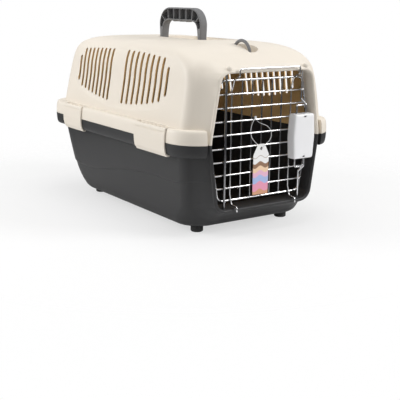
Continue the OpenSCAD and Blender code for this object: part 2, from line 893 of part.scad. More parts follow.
// A coil between the latch box's middle rib and a bolt's cross bar
spring_r = 3;
spring_wire = 0.9;
spring_turns = 5;
spring_steps = 12;
module latch_spring(side) {
    from = latch_mid + side * (latch_rib_t / 2 + spring_wire / 2);
    to = latch_mid + side * (stem_bar - bolt_d / 2 - spring_wire / 2 - 0.1);
    x = (stem_left + stem_right) / 2;
    count = spring_turns * spring_steps;
    color(STEEL)
        swept_wire([
            for (i = [0:count])
                let (angle = 360 * i / spring_steps)
                [x + spring_r * cos(angle), stem_y + spring_r * sin(angle), from + (to - from) * i / count]
        ], spring_wire, 6, [0.1, 0.2, 1]);
}

// Swing tag: a card on a thin loop round one cross wire
tag_x = -4;
tag_y = row_y - 4.2;
tag_top = row_low + 4 * row_pitch + 2.5;
tag_hole_z = tag_top - 7;
tag_hole_d = 5;
tag_wire = 1.2;
module tag_card() {
    low = tag_top - tag_h;
    color(WHITE)
        difference() {
            slab(tag_y - tag_t / 2, tag_y + tag_t / 2) polygon([
                [tag_x - tag_w / 2, low], [tag_x + tag_w / 2, low],
                [tag_x + tag_w / 2, tag_top - 17], [tag_x + tag_w / 2 - 8, tag_top - 1.5],
                [tag_x + tag_w / 2 - 10, tag_top], [tag_x - tag_w / 2 + 10, tag_top],
                [tag_x - tag_w / 2 + 8, tag_top - 1.5], [tag_x - tag_w / 2, tag_top - 17]
            ]);
            translate([tag_x, tag_y + 2, tag_hole_z]) rotate([90, 0, 0]) cylinder(h = 4, d = tag_hole_d, $fn = 32);
        }
}

// Points of the loop as [across, back from the card, up from the wire that it hangs on]
TAG_LOOP = [
    [0, 0, -45.5], [-4, 1.5, -41], [-12, 1.3, -34.5], [-19, 0.9, -26.5], [-21.6, 0.7, -16.5],
    [-19, 0.7, -6.5], [-14.5, 0.9, 1], [-12, 2.6, 4.9], [-9, 5.5, 4.5], [-6.5, 7.1, 1],
    [-4.5, 6.9, -2.5], [-2, 4.7, -5.5], [3, 1.3, -8], [11, 0.6, -11.5], [17.5, 0.5, -18],
    [20, 0.5, -26], [16.5, -0.1, -33.5], [8, -1.5, -39], [3, -1.4, -43]
];
module tag_loop() {
    wire_z = row_low + 6 * row_pitch;
    points = [for (p = TAG_LOOP) [tag_x + p[0], tag_y + p[1], wire_z + p[2]]];
    color(CLEAR) swept_ring(points, tag_wire, 8, [0.05, 1, 0.02]);
}

module top_shell() {
    color(CREAM)
        difference() {
            union() {
                dome_body(0);
                difference() {
                    rim_ring(1, top_band, 0);
                    rim_stop(0);
                }
                intersection() {
                    doorway_prism(lip, lip_y, lip_y + lip_depth);
                    translate([-rim_half, -rim_reach, parting_z]) cube([rim_width, 100, roof_z]);
                }
            }
            difference() {
                dome_body(wall);
                recess_space(wall);
                for (r = RINGS)
                    ring_place(r[0], r[1], r[2]) {
                        ring_pocket(wall);
                        ring_boss();
                    }
            }
            rim_hollow(1, top_band) {
                dome_body(0);
                for (c = CLIPS) clip_block(c[0], c[1], c[2]);
            }
            doorway_prism(0, -rim_reach, lip_y + 60);
            difference() {
                recess_space(0);
                handle_bosses();
            }
            handle_bores();
            for (r = RINGS)
                ring_place(r[0], r[1], r[2]) {
                    ring_pocket(0);
                    ring_bores();
                }
            difference() {
                for (c = CLIPS) clip_notch(c[0], c[1], c[2]);
                for (c = CLIPS) clip_pin(c[0], c[1], c[2]);
            }
            rod_bores();
            vent_slots();
        }
}

module tub_shell() {
    color(CHARCOAL)
        difference() {
            union() {
                tub_body(0);
                difference() {
                    rim_ring(-1, tub_band, 0);
                    rim_stop(0);
                }
                intersection() {
                    doorway_prism(lip, lip_y, lip_y + lip_depth);
                    translate([-rim_half, -rim_reach, 0]) cube([rim_width, 100, parting_z]);
                }
            }
            tub_body(wall);
            rim_hollow(-1, tub_band) tub_body(0);
            doorway_prism(0, -rim_reach, lip_y + 60);
            rod_bores();
        }
}

// A round foot with a chamfered tread
foot_chamfer = 1.2;
module foot(x, y) {
    r = foot_d / 2;
    color(BLACK)
        translate([x, y, 0])
            rotate_extrude($fn = 48)
                polygon([[0, 0], [r - foot_chamfer, 0], [r, foot_chamfer], [r, foot_h], [0, foot_h]]);
}

tub_shell();
top_shell();
foot(-foot_x, -foot_front);  // foot_front_left
foot(foot_x, -foot_front);  // foot_front_right
foot(-foot_x, foot_rear);  // foot_rear_left
foot(foot_x, foot_rear);  // foot_rear_right
clip(-1, clip_front_y, clip_front_length);  // clip_front_left
clip(1, clip_front_y, clip_front_length);  // clip_front_right
clip(-1, clip_rear_y, clip_rear_length);  // clip_rear_left
clip(1, clip_rear_y, clip_rear_length);  // clip_rear_right
carry_handle();
ring_place(ring_front_y, ring_front_z, ring_front_tilt) strap_ring(0);  // strap_ring_front
ring_place(ring_rear_y, ring_rear_z, ring_rear_tilt) strap_ring(90);  // strap_ring_rear
door_edge_wire();
door_cross_wires();
door_upright_wires();
door_stay_wire();
hinge_rod();
latch_cover();
latch_back();
bolt(1);  // bolt_upper
bolt(-1);  // bolt_lower
latch_spring(1);  // latch_spring_upper
latch_spring(-1);  // latch_spring_lower
tag_card();
tag_loop();
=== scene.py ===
"""The looks of a travel carrier for birds: smooth shells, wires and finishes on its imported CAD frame."""

import logging
import math
from dataclasses import dataclass
from enum import Enum
from functools import cached_property
from typing import Callable, Iterable, Sequence

import bmesh
import bpy
import numpy as np
from mathutils import Matrix, Vector


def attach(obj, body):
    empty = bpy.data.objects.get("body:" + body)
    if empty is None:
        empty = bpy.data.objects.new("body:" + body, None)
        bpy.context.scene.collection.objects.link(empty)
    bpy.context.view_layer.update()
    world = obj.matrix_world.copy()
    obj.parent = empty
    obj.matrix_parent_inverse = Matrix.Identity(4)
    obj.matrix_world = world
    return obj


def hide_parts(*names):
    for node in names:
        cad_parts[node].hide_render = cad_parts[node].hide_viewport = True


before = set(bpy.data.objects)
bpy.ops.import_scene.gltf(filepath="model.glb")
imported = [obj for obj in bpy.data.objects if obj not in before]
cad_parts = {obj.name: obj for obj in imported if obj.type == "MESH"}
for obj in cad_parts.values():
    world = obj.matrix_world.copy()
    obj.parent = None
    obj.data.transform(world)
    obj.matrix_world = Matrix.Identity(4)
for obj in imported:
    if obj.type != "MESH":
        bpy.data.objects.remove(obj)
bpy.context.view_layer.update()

MM = 0.001
Points = Sequence[Sequence[float]]
Profile = tuple[tuple[float, float], ...]
log = logging.getLogger("carrier")


# Places that several pieces share, in millimetres

# The joint between the shells, and places past every side and above the roof
JOINT, FAR, HIGH = 148.5, 200.0, 300.0
# The lines of the hinge rod and of the two bolts
ROD_X, ROD_Y, BOLT_X, BOLT_Y = -73.5, -225.65, 75.0, -225.5
# The lowest cross wire's place on the edge wire, and the pitch of the cross wires
ROW_LOW, ROW_PITCH = 56.5, 20.5
# The clips' middles along the rim, and their lengths
CLIPS = ((-135.5, 89.0), (129.0, 68.0))


# Small tools for curves and outlines, in millimetres


def eased(value: np.ndarray) -> np.ndarray:
    """A smooth step from 0 to 1.

    Args:
        value: Where on the step each point is, 0 at its start and 1 at its end.

    Returns:
        The eased shares.
    """
    share = np.clip(value, 0.0, 1.0)
    return share * share * (3 - 2 * share)


def smooth_rows(rows: Points, per_gap: int, closed: bool = False) -> np.ndarray:
    """Puts more rows between the rows of a table, on one smooth curve.

    Args:
        rows: The table.
        per_gap: Steps between two rows.
        closed: Whether the last row leads back to the first.

    Returns:
        The finer table.
    """
    table = np.array(rows, float)
    count = len(table)
    gaps = count if closed else count - 1
    out = []
    for i in range(gaps):
        if closed:
            before, a, b, after = (table[(i + k) % count] for k in (-1, 0, 1, 2))
        else:
            a, b = table[i], table[i + 1]
            before = table[i - 1] if i else 2 * a - b
            after = table[i + 2] if i + 2 < count else 2 * b - a
        for step in range(per_gap):
            t = step / per_gap
            out.append(0.5 * (2 * a + (b - before) * t + (2 * before - 5 * a + 4 * b - after) * t ** 2
                              + (3 * a - before - 3 * b + after) * t ** 3))
    if not closed:
        out.append(table[-1])
    return np.array(out)


def round_outline(points: Points, radii: Sequence[float], steps: int) -> np.ndarray:
    """Rounds the corners of a flat outline.

    Args:
        points: Its corners.
        radii: The radius at each corner.
        steps: Steps round each corner.

    Returns:
        The points of the rounded outline.
    """
    corners = np.array(points, float)
    count = len(corners)
    out = []
    for i, radius in enumerate(radii):
        here = corners[i]
        back = corners[i - 1] - here
        ahead = corners[(i + 1) % count] - here
        back /= np.linalg.norm(back)
        ahead /= np.linalg.norm(ahead)
        half = math.acos(float(back @ ahead)) / 2
        middle = (back + ahead) / np.linalg.norm(back + ahead)
        centre = here + middle * radius / math.sin(half)
        first = here + back * radius / math.tan(half) - centre
        last = here + ahead * radius / math.tan(half) - centre
        start = math.atan2(first[1], first[0])
        turn = math.atan2(last[1], last[0]) - start
        turn = (turn + math.pi) % (2 * math.pi) - math.pi
        for s in range(steps + 1):
            angle = start + turn * s / steps
            out.append(centre + radius * np.array([math.cos(angle), math.sin(angle)]))
    return np.array(out)


def bent_path(points: Points, radius: float, steps: int) -> list[Vector]:
    """Rounds the bends of a wire's path.

    Args:
        points: The corners of the path.
        radius: The bend's radius.
        steps: Steps round each bend.

    Returns:
        The points of the bent path.
    """
    path = [Vector(p) for p in points]
    out = [path[0]]
    for before, here, after in zip(path, path[1:], path[2:]):
        back = (before - here).normalized()
        ahead = (after - here).normalized()
        half = back.angle(ahead) / 2
        run = radius / math.tan(half)
        centre = here + (back + ahead).normalized() * radius / math.sin(half)
        a = here + back * run - centre
        b = here + ahead * run - centre
        sweep = a.angle(b)
        w = (b - a * math.cos(sweep)).normalized()
        for s in range(steps + 1):
            angle = sweep * s / steps
            out.append(centre + a * math.cos(angle) + w * radius * math.sin(angle))
    out.append(path[-1])
    return out


def outside_distance(points: np.ndarray, outline: np.ndarray) -> np.ndarray:
    """How far flat points lie outside a closed outline.

    Args:
        points: The points.
        outline: The outline's points.

    Returns:
        The distances, below zero inside.
    """
    a = outline
    b = np.roll(outline, -1, axis=0)
    run = b - a
    rel = points[:, None, :] - a[None]
    share = np.clip((rel * run).sum(-1) / (run * run).sum(-1), 0, 1)
    near = np.linalg.norm(rel - share[..., None] * run, axis=-1).min(1)
    above_a = a[None, :, 1] > points[:, None, 1]
    above_b = b[None, :, 1] > points[:, None, 1]
    rise = np.where(np.abs(run[:, 1]) < 1e-9, 1e-9, run[:, 1])
    cross = a[None, :, 0] + (points[:, None, 1] - a[None, :, 1]) / rise * run[:, 0]
    inside = ((above_a != above_b) & (points[:, None, 0] < cross)).sum(1) % 2 == 1
    return np.where(inside, -near, near)


# Mesh work


class Join(Enum):
    """How one solid changes another."""

    ADD = "UNION"
    TAKE = "DIFFERENCE"
    KEEP = "INTERSECT"


class Shape:
    """One mesh being made, in millimetres."""

    def __init__(self) -> None:
        """Starts an empty mesh."""
        self.bm = bmesh.new()

    def edges_of(self, loop: Sequence[bmesh.types.BMVert]) -> list[bmesh.types.BMEdge]:
        """The edges round a closed loop of vertices."""
        return [self.bm.edges.get((vert, loop[i - 1])) for i, vert in enumerate(loop)]

    def first_loop(self, points: Points) -> list[bmesh.types.BMVert]:
        """Starts with a ring of edges.

        Args:
            points: Where its vertices go.

        Returns:
            The vertices in order.
        """
        made = bmesh.ops.create_circle(self.bm, cap_ends=False, radius=1.0, segments=len(points))
        loop = made["verts"]
        for vert, point in zip(loop, points):
            vert.co = Vector(point)
        return loop

    def next_loop(self, loop: Sequence[bmesh.types.BMVert], points: Points) -> list[bmesh.types.BMVert]:
        """Extrudes a ring of edges.

        Args:
            loop: The ring's vertices.
            points: Where the new vertices go.

        Returns:
            The new vertices in the same order.
        """
        made = bmesh.ops.extrude_edge_only(self.bm, edges=self.edges_of(loop))["geom"]
        fresh = {item for item in made if isinstance(item, bmesh.types.BMVert)}
        new = [
            next(edge.other_vert(vert) for edge in vert.link_edges if edge.other_vert(vert) in fresh)
            for vert in loop
        ]
        for vert, point in zip(new, points):
            vert.co = Vector(point)
        return new

    def loft(self, rows: Sequence[Points], closed: bool = False) -> "Shape":
        """Makes a skin through rings of points.

        Args:
            rows: The rings, each with the same count of points.
            closed: Whether the last ring joins the first; otherwise both ends are capped.

        Returns:
            This shape.
        """
        first = loop = self.first_loop(rows[0])
        for row in rows[1:]:
            loop = self.next_loop(loop, row)
        if closed:
            bmesh.ops.bridge_loops(self.bm, edges=self.edges_of(first) + self.edges_of(loop))
        else:
            bmesh.ops.edgeloop_fill(self.bm, edges=self.edges_of(first))
            bmesh.ops.edgeloop_fill(self.bm, edges=self.edges_of(loop))
        return self

    def tube(self, path: Points, radius: float, sides: int = 14, closed: bool = False,
             flat: float = 1.0, guide: Sequence[float] = (0.11, 0.97, 0.21)) -> "Shape":
        """Sweeps a round wire along a path.

        Args:
            path: The middle line.
            radius: The wire's radius.
            sides: Points round it.
            closed: Whether it is a ring; otherwise its ends are rounded.
            flat: How thick it is across the guide, as a share of its width.
            guide: A direction that the section's first point keeps to.

        Returns:
            This shape.
        """
        line = [Vector(p) for p in path]
        count = len(line)
        rows = []
        normal = Vector(guide)

        def section(middle: Vector, tangent: Vector, size: float) -> list[Vector]:
            """One ring of the wire.

            Args:
                middle: Its centre.
                tangent: The path's direction there.
                size: Its radius.

            Returns:
                Its points.
            """
            side = tangent.cross(normal)
            angles = (2 * math.pi * k / sides for k in range(sides))
            return [
                middle + normal * (size * math.cos(a)) + side * (size * flat * math.sin(a))
                for a in angles
            ]

        def rounded(end: Vector, tangent: Vector, degrees: int, way: int) -> list[Vector]:
            """One ring of a rounded end.

            Args:
                end: The end of the path.
                tangent: The path's direction there.
                degrees: How far round the end it lies.
                way: 1 at the last end, -1 at the first.

            Returns:
                Its points.
            """
            a = math.radians(degrees)
            return section(end + tangent * (way * (math.sin(a) - 1) * radius), tangent, radius * math.cos(a))

        for i, point in enumerate(line):
            ahead = line[(i + 1) % count] - point if closed or i < count - 1 else Vector()
            back = point - line[i - 1] if closed or i else Vector()
            tangent = (ahead.normalized() + back.normalized()).normalized()
            normal = (normal - tangent * normal.dot(tangent)).normalized()
            if not closed and i == 0:
                rows += [rounded(point, tangent, degrees, -1) for degrees in (60, 30, 0)]
            elif not closed and i == count - 1:
                rows += [rounded(point, tangent, degrees, 1) for degrees in (0, 30, 60)]
            else:
                rows.append(section(point, tangent, radius))
        return self.loft(rows, closed)

    def box(self, low: Sequence[float], high: Sequence[float], rounding: float = 0.0) -> "Shape":
        """Adds a box.

        Args:
            low: Its lowest corner.
            high: Its highest corner.
            rounding: The radius of its edges.

        Returns:
            This shape.
        """
        size = Vector(high) - Vector(low)
        place = Matrix.Translation((Vector(high) + Vector(low)) / 2) @ Matrix.Diagonal(size).to_4x4()
        verts = bmesh.ops.create_cube(self.bm, size=1.0, matrix=place)["verts"]
        if rounding:
            edges = list({edge for vert in verts for edge in vert.link_edges})
            bmesh.ops.bevel(self.bm, geom=edges, offset=rounding, affect="EDGES", segments=3, profile=0.5,
                            material=-1)
        return self

    def rod(self, start: Sequence[float], end: Sequence[float], radius: float, sides: int = 40) -> "Shape":
        """Adds a plain round bar between two points.

        Args:
            start: One end.
            end: The other end.
            radius: Its radius.
            sides: Points round it.

        Returns:
            This shape.
        """
        a, b = Vector(start), Vector(end)
        turn = Vector((0, 0, 1)).rotation_difference(b - a).to_matrix().to_4x4()
        bmesh.ops.create_cone(self.bm, cap_ends=True, segments=sides, radius1=radius, radius2=radius,
                              depth=(b - a).length, matrix=Matrix.Translation((a + b) / 2) @ turn)
        return self

    def ball(self, middle: Sequence[float], radius: float, sizes: Sequence[float] = (1, 1, 1),
             levels: int = 2) -> "Shape":
        """Adds a ball or an egg.

        Args:
            middle: Its centre.
            radius: Its radius.
            sizes: Stretch along X, Y and Z.
            levels: How fine it is.

        Returns:
            This shape.
        """
        place = Matrix.Translation(Vector(middle)) @ Matrix.Diagonal(Vector(sizes)).to_4x4()
        bmesh.ops.create_icosphere(self.bm, subdivisions=levels, radius=radius, matrix=place)
        return self

    def moved(self, matrix: Matrix) -> "Shape":
        """Moves the whole mesh by a matrix in millimetres."""
        bmesh.ops.transform(self.bm, matrix=matrix, verts=self.bm.verts)
        return self

    def make(self, name: str, sharp: float = 32.0) -> bpy.types.Object:
        """Turns the mesh into an object in metres.

        Args:
            name: The object's name.
            sharp: Edges that turn more than this, in degrees, stay crisp.

        Returns:
            The object.
        """
        bmesh.ops.scale(self.bm, vec=(MM, MM, MM), verts=self.bm.verts)
        bmesh.ops.recalc_face_normals(self.bm, faces=self.bm.faces)
        mesh = bpy.data.meshes.new(name)
        self.bm.to_mesh(mesh)
        self.bm.free()
        thing = bpy.data.objects.new(name, mesh)
        bpy.context.scene.collection.objects.link(thing)
        crisp(thing, sharp)
        return thing


def crisp(thing: bpy.types.Object, sharp: float) -> None:
    """Shades a mesh smooth up to its sharp edges.

    Args:
        thing: The object.
        sharp: Edges that turn more than this, in degrees, stay crisp.
    """
    bm = bmesh.new()
    bm.from_mesh(thing.data)
    limit = math.radians(sharp)
    for face in bm.faces:
        face.smooth = True
    for edge in bm.edges:
        edge.smooth = len(edge.link_faces) == 2 and edge.calc_face_angle(0) < limit
    bm.to_mesh(thing.data)
    bm.free()


def carve(body: bpy.types.Object, steps: Iterable[tuple[Join, bpy.types.Object]],
          sharp: float = 32.0) -> bpy.types.Object:
    """Adds solids to a body or takes them away.

    Args:
        body: The body.
        steps: What to do, with which solid. The solids are used up.
        sharp: Edges that turn more than this, in degrees, stay crisp.

    Returns:
        The body.
    """
    tools = []
    for join, tool in steps:
        modifier = body.modifiers.new(tool.name, "BOOLEAN")
        modifier.operation = join.value
        modifier.solver = "MANIFOLD"
        modifier.object = tool
        tools.append(tool)
    bpy.context.view_layer.update()
    evaluated = body.evaluated_get(bpy.context.evaluated_depsgraph_get())
    mesh = bpy.data.meshes.new_from_object(evaluated)
    body.modifiers.clear()
    old = body.data
    body.data = mesh
    bpy.data.meshes.remove(old)
    for tool in tools:
        bpy.data.objects.remove(tool)
    crisp(body, sharp)
    return body


# Finishes


@dataclass(frozen=True)
class Finish:
    """How one surface looks, with sizes in millimetres."""

    name: str
    colour: tuple[float, float, float]
    roughness: float
    metallic: float = 0.0
    grain: float = 0.0
    grain_size: float = 1.0
    mottle: float = 0.0
    mottle_size: float = 60.0
    edge: float = 0.0
    coat: float = 0.0
    clear: float = 0.0
    specular: float = 0.5
    bands: tuple[tuple[float, tuple[float, float, float]], ...] = ()
    band_range: tuple[float, float] = (0.0, 1.0)
    band_wave: float = 21.0
    band_lift: float = 2.2

    def material(self) -> bpy.types.Material:
        """The finish as a material, made once.

        Returns:
            The material.
        """
        found = bpy.data.materials.get(self.name)
        if found:
            return found
        made = bpy.data.materials.new(self.name)
        made.use_nodes = True
        tree = made.node_tree
        shader = tree.nodes["Principled BSDF"]
        shader.inputs["Base Color"].default_value = (*self.colour, 1)
        shader.inputs["Roughness"].default_value = self.roughness
        shader.inputs["Metallic"].default_value = self.metallic
        shader.inputs["Coat Weight"].default_value = self.coat
        shader.inputs["Coat Roughness"].default_value = 0.15
        shader.inputs["Transmission Weight"].default_value = self.clear
        shader.inputs["Specular IOR Level"].default_value = self.specular
        place = tree.nodes.new("ShaderNodeTexCoord")
        if self.mottle:
            self._mottled(tree, shader, place)
        if self.bands:
            self._banded(tree, shader, place)
        self._surface(tree, shader, place)
        return made

    def _noise(self, tree: bpy.types.NodeTree, place: bpy.types.Node, size: float,
               detail: float) -> bpy.types.Node:
        """A noise pattern of one size.

        Args:
            tree: The material's nodes.
            place: The coordinates.
            size: The size of one blob in millimetres.
            detail: How many finer layers it has.

        Returns:
            The noise node.
        """
        noise = tree.nodes.new("ShaderNodeTexNoise")
        noise.inputs["Scale"].default_value = 1 / (size * MM)
        noise.inputs["Detail"].default_value = detail
        tree.links.new(place.outputs["Object"], noise.inputs["Vector"])
        return noise

    def _mottled(self, tree: bpy.types.NodeTree, shader: bpy.types.Node, place: bpy.types.Node) -> None:
        """Varies the colour and the gloss a little over the surface.

        Args:
            tree: The material's nodes.
            shader: Its shader.
            place: The coordinates.
        """
        noise = self._noise(tree, place, self.mottle_size, 3)
        mix = tree.nodes.new("ShaderNodeMix")
        mix.data_type = "RGBA"
        mix.inputs[6].default_value = (*(c * (1 - self.mottle) for c in self.colour), 1)
        mix.inputs[7].default_value = (*(min(1, c * (1 + self.mottle)) for c in self.colour), 1)
        tree.links.new(noise.outputs["Fac"], mix.inputs[0])
        tree.links.new(mix.outputs[2], shader.inputs["Base Color"])
        gloss = tree.nodes.new("ShaderNodeMapRange")
        gloss.inputs["To Min"].default_value = self.roughness * 0.92
        gloss.inputs["To Max"].default_value = min(1.0, self.roughness * 1.08)
        tree.links.new(noise.outputs["Fac"], gloss.inputs["Value"])
        tree.links.new(gloss.outputs[0], shader.inputs["Roughness"])

    def _banded(self, tree: bpy.types.NodeTree, shader: bpy.types.Node, place: bpy.types.Node) -> None:
        """Prints soft bands of colour over the height, with a wavy edge.

        Args:
            tree: The material's nodes.
            shader: Its shader.
            place: The coordinates.
        """
        split = tree.nodes.new("ShaderNodeSeparateXYZ")
        tree.links.new(place.outputs["Object"], split.inputs[0])
        wave = tree.nodes.new("ShaderNodeMath")
        wave.operation = "SINE"
        scale = tree.nodes.new("ShaderNodeMath")
        scale.operation = "MULTIPLY"
        scale.inputs[1].default_value = 2 * math.pi / (self.band_wave * MM)
        tree.links.new(split.outputs["X"], scale.inputs[0])
        tree.links.new(scale.outputs[0], wave.inputs[0])
        lift = tree.nodes.new("ShaderNodeMath")
        lift.operation = "MULTIPLY_ADD"
        lift.inputs[1].default_value = self.band_lift * MM
        tree.links.new(wave.outputs[0], lift.inputs[0])
        tree.links.new(split.outputs["Z"], lift.inputs[2])
        share = tree.nodes.new("ShaderNodeMapRange")
        share.inputs["From Min"].default_value = self.band_range[0] * MM
        share.inputs["From Max"].default_value = self.band_range[1] * MM
        tree.links.new(lift.outputs[0], share.inputs["Value"])
        ramp = tree.nodes.new("ShaderNodeValToRGB")
        ramp.color_ramp.interpolation = "CONSTANT"
        for i, (start, colour) in enumerate(self.bands):
            stop = ramp.color_ramp.elements[i] if i < 2 else ramp.color_ramp.elements.new(start)
            stop.position = start
            stop.color = (*colour, 1)
        tree.links.new(share.outputs[0], ramp.inputs[0])
        tree.links.new(ramp.outputs["Color"], shader.inputs["Base Color"])

    def _surface(self, tree: bpy.types.NodeTree, shader: bpy.types.Node, place: bpy.types.Node) -> None:
        """Softens the edges and adds the moulded grain.

        Args:
            tree: The material's nodes.
            shader: Its shader.
            place: The coordinates.
        """
        last = None
        if self.edge:
            last = tree.nodes.new("ShaderNodeBevel")
            last.samples = 6
            last.inputs["Radius"].default_value = self.edge * MM
        if self.grain:
            bump = tree.nodes.new("ShaderNodeBump")
            bump.inputs["Distance"].default_value = self.grain * MM
            noise = self._noise(tree, place, self.grain_size, 2)
            tree.links.new(noise.outputs["Fac"], bump.inputs["Height"])
            if last:
                tree.links.new(last.outputs[0], bump.inputs["Normal"])
            last = bump
        if last:
            tree.links.new(last.outputs[0], shader.inputs["Normal"])


CREAM = Finish("cream_plastic", (0.80, 0.733, 0.638), 0.46, grain=0.02, grain_size=0.7,
               mottle=0.015, edge=1.2)
CREAM_CLIP = Finish("cream_clip_plastic", (0.80, 0.733, 0.638), 0.44, grain=0.02, grain_size=0.7,
                    mottle=0.015, edge=0.7)
# Painted shade: the same cream plastic, coloured warm brown for the shade and warm light inside the cabin and
# on the vents' cut walls
CREAM_PAINTED_SHADE = Finish("cream_plastic_painted_shade", (0.84, 0.56, 0.25), 0.6, grain=0.03, grain_size=1.2,
                      mottle=0.06)
CHARCOAL = Finish("charcoal_plastic", (0.031, 0.031, 0.032), 0.47, grain=0.03, grain_size=0.8, mottle=0.05,
                  edge=1.0, specular=0.35)
# Painted shade: the same charcoal plastic, coloured near black for the shade inside the tub
CHARCOAL_PAINTED_SHADE = Finish("charcoal_plastic_painted_shade", (0.012, 0.012, 0.012), 0.7, grain=0.03, grain_size=1.2,
                         mottle=0.06)
GREY = Finish("grey_plastic", (0.105, 0.107, 0.112), 0.36, grain=0.012, grain_size=0.8, mottle=0.05, edge=0.6)
CHROME = Finish("chrome", (0.72, 0.72, 0.73), 0.13, metallic=1.0, grain=0.006, grain_size=3.0, mottle=0.06,
                mottle_size=9)
# Painted shade: the same chrome wire, coloured darker for the dark reflections on the uprights and the hinge
# rod
CHROME_PAINTED_SHADE = Finish("chrome_painted_shade", (0.30, 0.30, 0.31), 0.2, metallic=1.0, grain=0.006, grain_size=3.0,
                     mottle=0.08, mottle_size=9)
SPRING = Finish("spring_steel", (0.42, 0.42, 0.43), 0.3, metallic=1.0, grain=0.006, grain_size=1.0,
                mottle=0.05)
WHITE = Finish("white_plastic", (0.93, 0.925, 0.92), 0.35, grain=0.01, grain_size=0.8, mottle=0.01, edge=0.5)
RUBBER = Finish("foot_rubber", (0.018, 0.018, 0.018), 0.8, grain=0.05, grain_size=1.0, mottle=0.1)
THREAD = Finish("clear_thread", (0.80, 0.81, 0.82), 0.2, clear=0.7, grain=0.004, grain_size=1.0, mottle=0.02)
CARD = Finish(
    "tag_card", (0.88, 0.88, 0.87), 0.5, grain=0.006, grain_size=0.5, coat=0.15, band_range=(61.0, 141.0),
    bands=((0.0, (0.66, 0.34, 0.20)), (0.085, (0.80, 0.33, 0.47)), (0.235, (0.40, 0.50, 0.78)),
           (0.36, (0.79, 0.47, 0.62)), (0.455, (0.86, 0.62, 0.42)), (0.545, (0.30, 0.17, 0.10)),
           (0.63, (0.88, 0.88, 0.87)), (0.735, (0.55, 0.50, 0.45)), (0.752, (0.88, 0.88, 0.87))))


def dress(thing: bpy.types.Object, finish: Finish, body: str, slot: str, *stands_for: str) -> None:
    """Gives a new piece its finish, its body and the nodes that it stands for.

    Args:
        thing: The piece.
        finish: Its finish.
        body: The CAD body that it rides on.
        slot: The record's material slot; not used.
        stands_for: The CAD nodes that it replaces.
    """
    if finish.material().name not in thing.data.materials:
        thing.data.materials.clear()
        thing.data.materials.append(finish.material())
    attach(thing, body)
    if stands_for:
        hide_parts(*stands_for)
    log.info("%s: %d faces, rides on %s", thing.name, len(thing.data.polygons), body)


def dress_node(name: str, finish: Finish) -> None:
    """Gives a CAD node that stays in view its finish.

    Args:
        name: The node.
        finish: Its finish.
    """
    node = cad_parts[name]
    node.data.materials.clear()
    node.data.materials.append(finish.material())
    log.info("%s: the CAD's own solid, dressed", name)


# The shells


@dataclass(frozen=True)
class Doorway:
    """The opening in the front and the frame round it.

    The frame's edge and the mouth hold places behind the frame's front with the growth of the outline there.
    """

    low: float = 46.0
    high: float = 252.0
    mid_z: float = JOINT
    mid_half: float = 104.0
    top_half: float = 86.0
    low_half: float = 89.0
    corner: float = 16.0
    side_radius: float = 60.0
    lip: float = 5.5
    depth: float = 28.0
    front: float = -235.0
    flare: float = 20.0
    flare_stop: float = 1.6
    flare_power: float = 1.7
    flare_from: float = -100.0
    frame_edge: Profile = ((2.6, 0.0), (1.4, -0.35), (0.5, -1.1), (0.0, -2.3))
    mouth: Profile = ((-6.0, 2.2), (0.2, 1.6), (0.7, 0.8), (1.6, 0.2), (3.0, 0.0), (62.0, 0.0))

    def outline(self, grow: float, steps: int = 10) -> np.ndarray:
        """The opening's outline in X and Z.

        Args:
            grow: How far it is moved outwards.
            steps: Steps round each corner.

        Returns:
            Its points.
        """
        corners = [
            (-self.low_half - grow, self.low - grow), (self.low_half + grow, self.low - grow),
            (self.mid_half + grow, self.mid_z), (self.top_half + grow, self.high + grow),
            (-self.top_half - grow, self.high + grow), (-self.mid_half - grow, self.mid_z),
        ]
        bends = [self.corner, self.corner, self.side_radius] * 2
        return round_outline(corners, [r + grow for r in bends], steps)

    def prism(self, rows: Sequence[tuple[float, float]], name: str) -> bpy.types.Object:
        """A solid through outlines of the opening.

        Args:
            rows: The place along Y and the growth of each outline.
            name: The solid's name.

        Returns:
            The solid.
        """
        rings = [[(x, y, z) for x, z in self.outline(grow)] for y, grow in rows]
        return Shape().loft(rings).make(name)

    def frame_solid(self, low: float, high: float) -> bpy.types.Object:
        """The frame before the opening is cut, between two heights.

        Args:
            low: Its lower end.
            high: Its upper end.

        Returns:
            The solid.
        """
        rows = [(self.front + self.depth, self.lip)]
        rows += [(self.front + behind, self.lip + grow) for behind, grow in self.frame_edge]
        solid = self.prism(rows, "frame_solid")
        part = Shape().box((-FAR, self.front - 20, low), (FAR, self.front + 80, high)).make("frame_part")
        return carve(solid, [(Join.KEEP, part)])

    def cut(self) -> bpy.types.Object:
        """The solid that cuts the opening, with a soft front edge."""
        return self.prism([(self.front + behind, grow) for behind, grow in self.mouth], "doorway_cut")

    def flared(self, points: np.ndarray) -> np.ndarray:
        """Sweeps the front of a shell out to the frame.

        Args:
            points: Points of the shell.

        Returns:
            The moved points.
        """
        far = outside_distance(points[:, [0, 2]], self.outline(self.lip))
        share = np.clip(1 - far / self.flare, 0, 1) ** self.flare_power
        share = np.where(points[:, 1] < self.flare_from, share, 0)
        out = points.copy()
        out[:, 1] += (self.front + self.flare_stop - points[:, 1]) * share
        return out


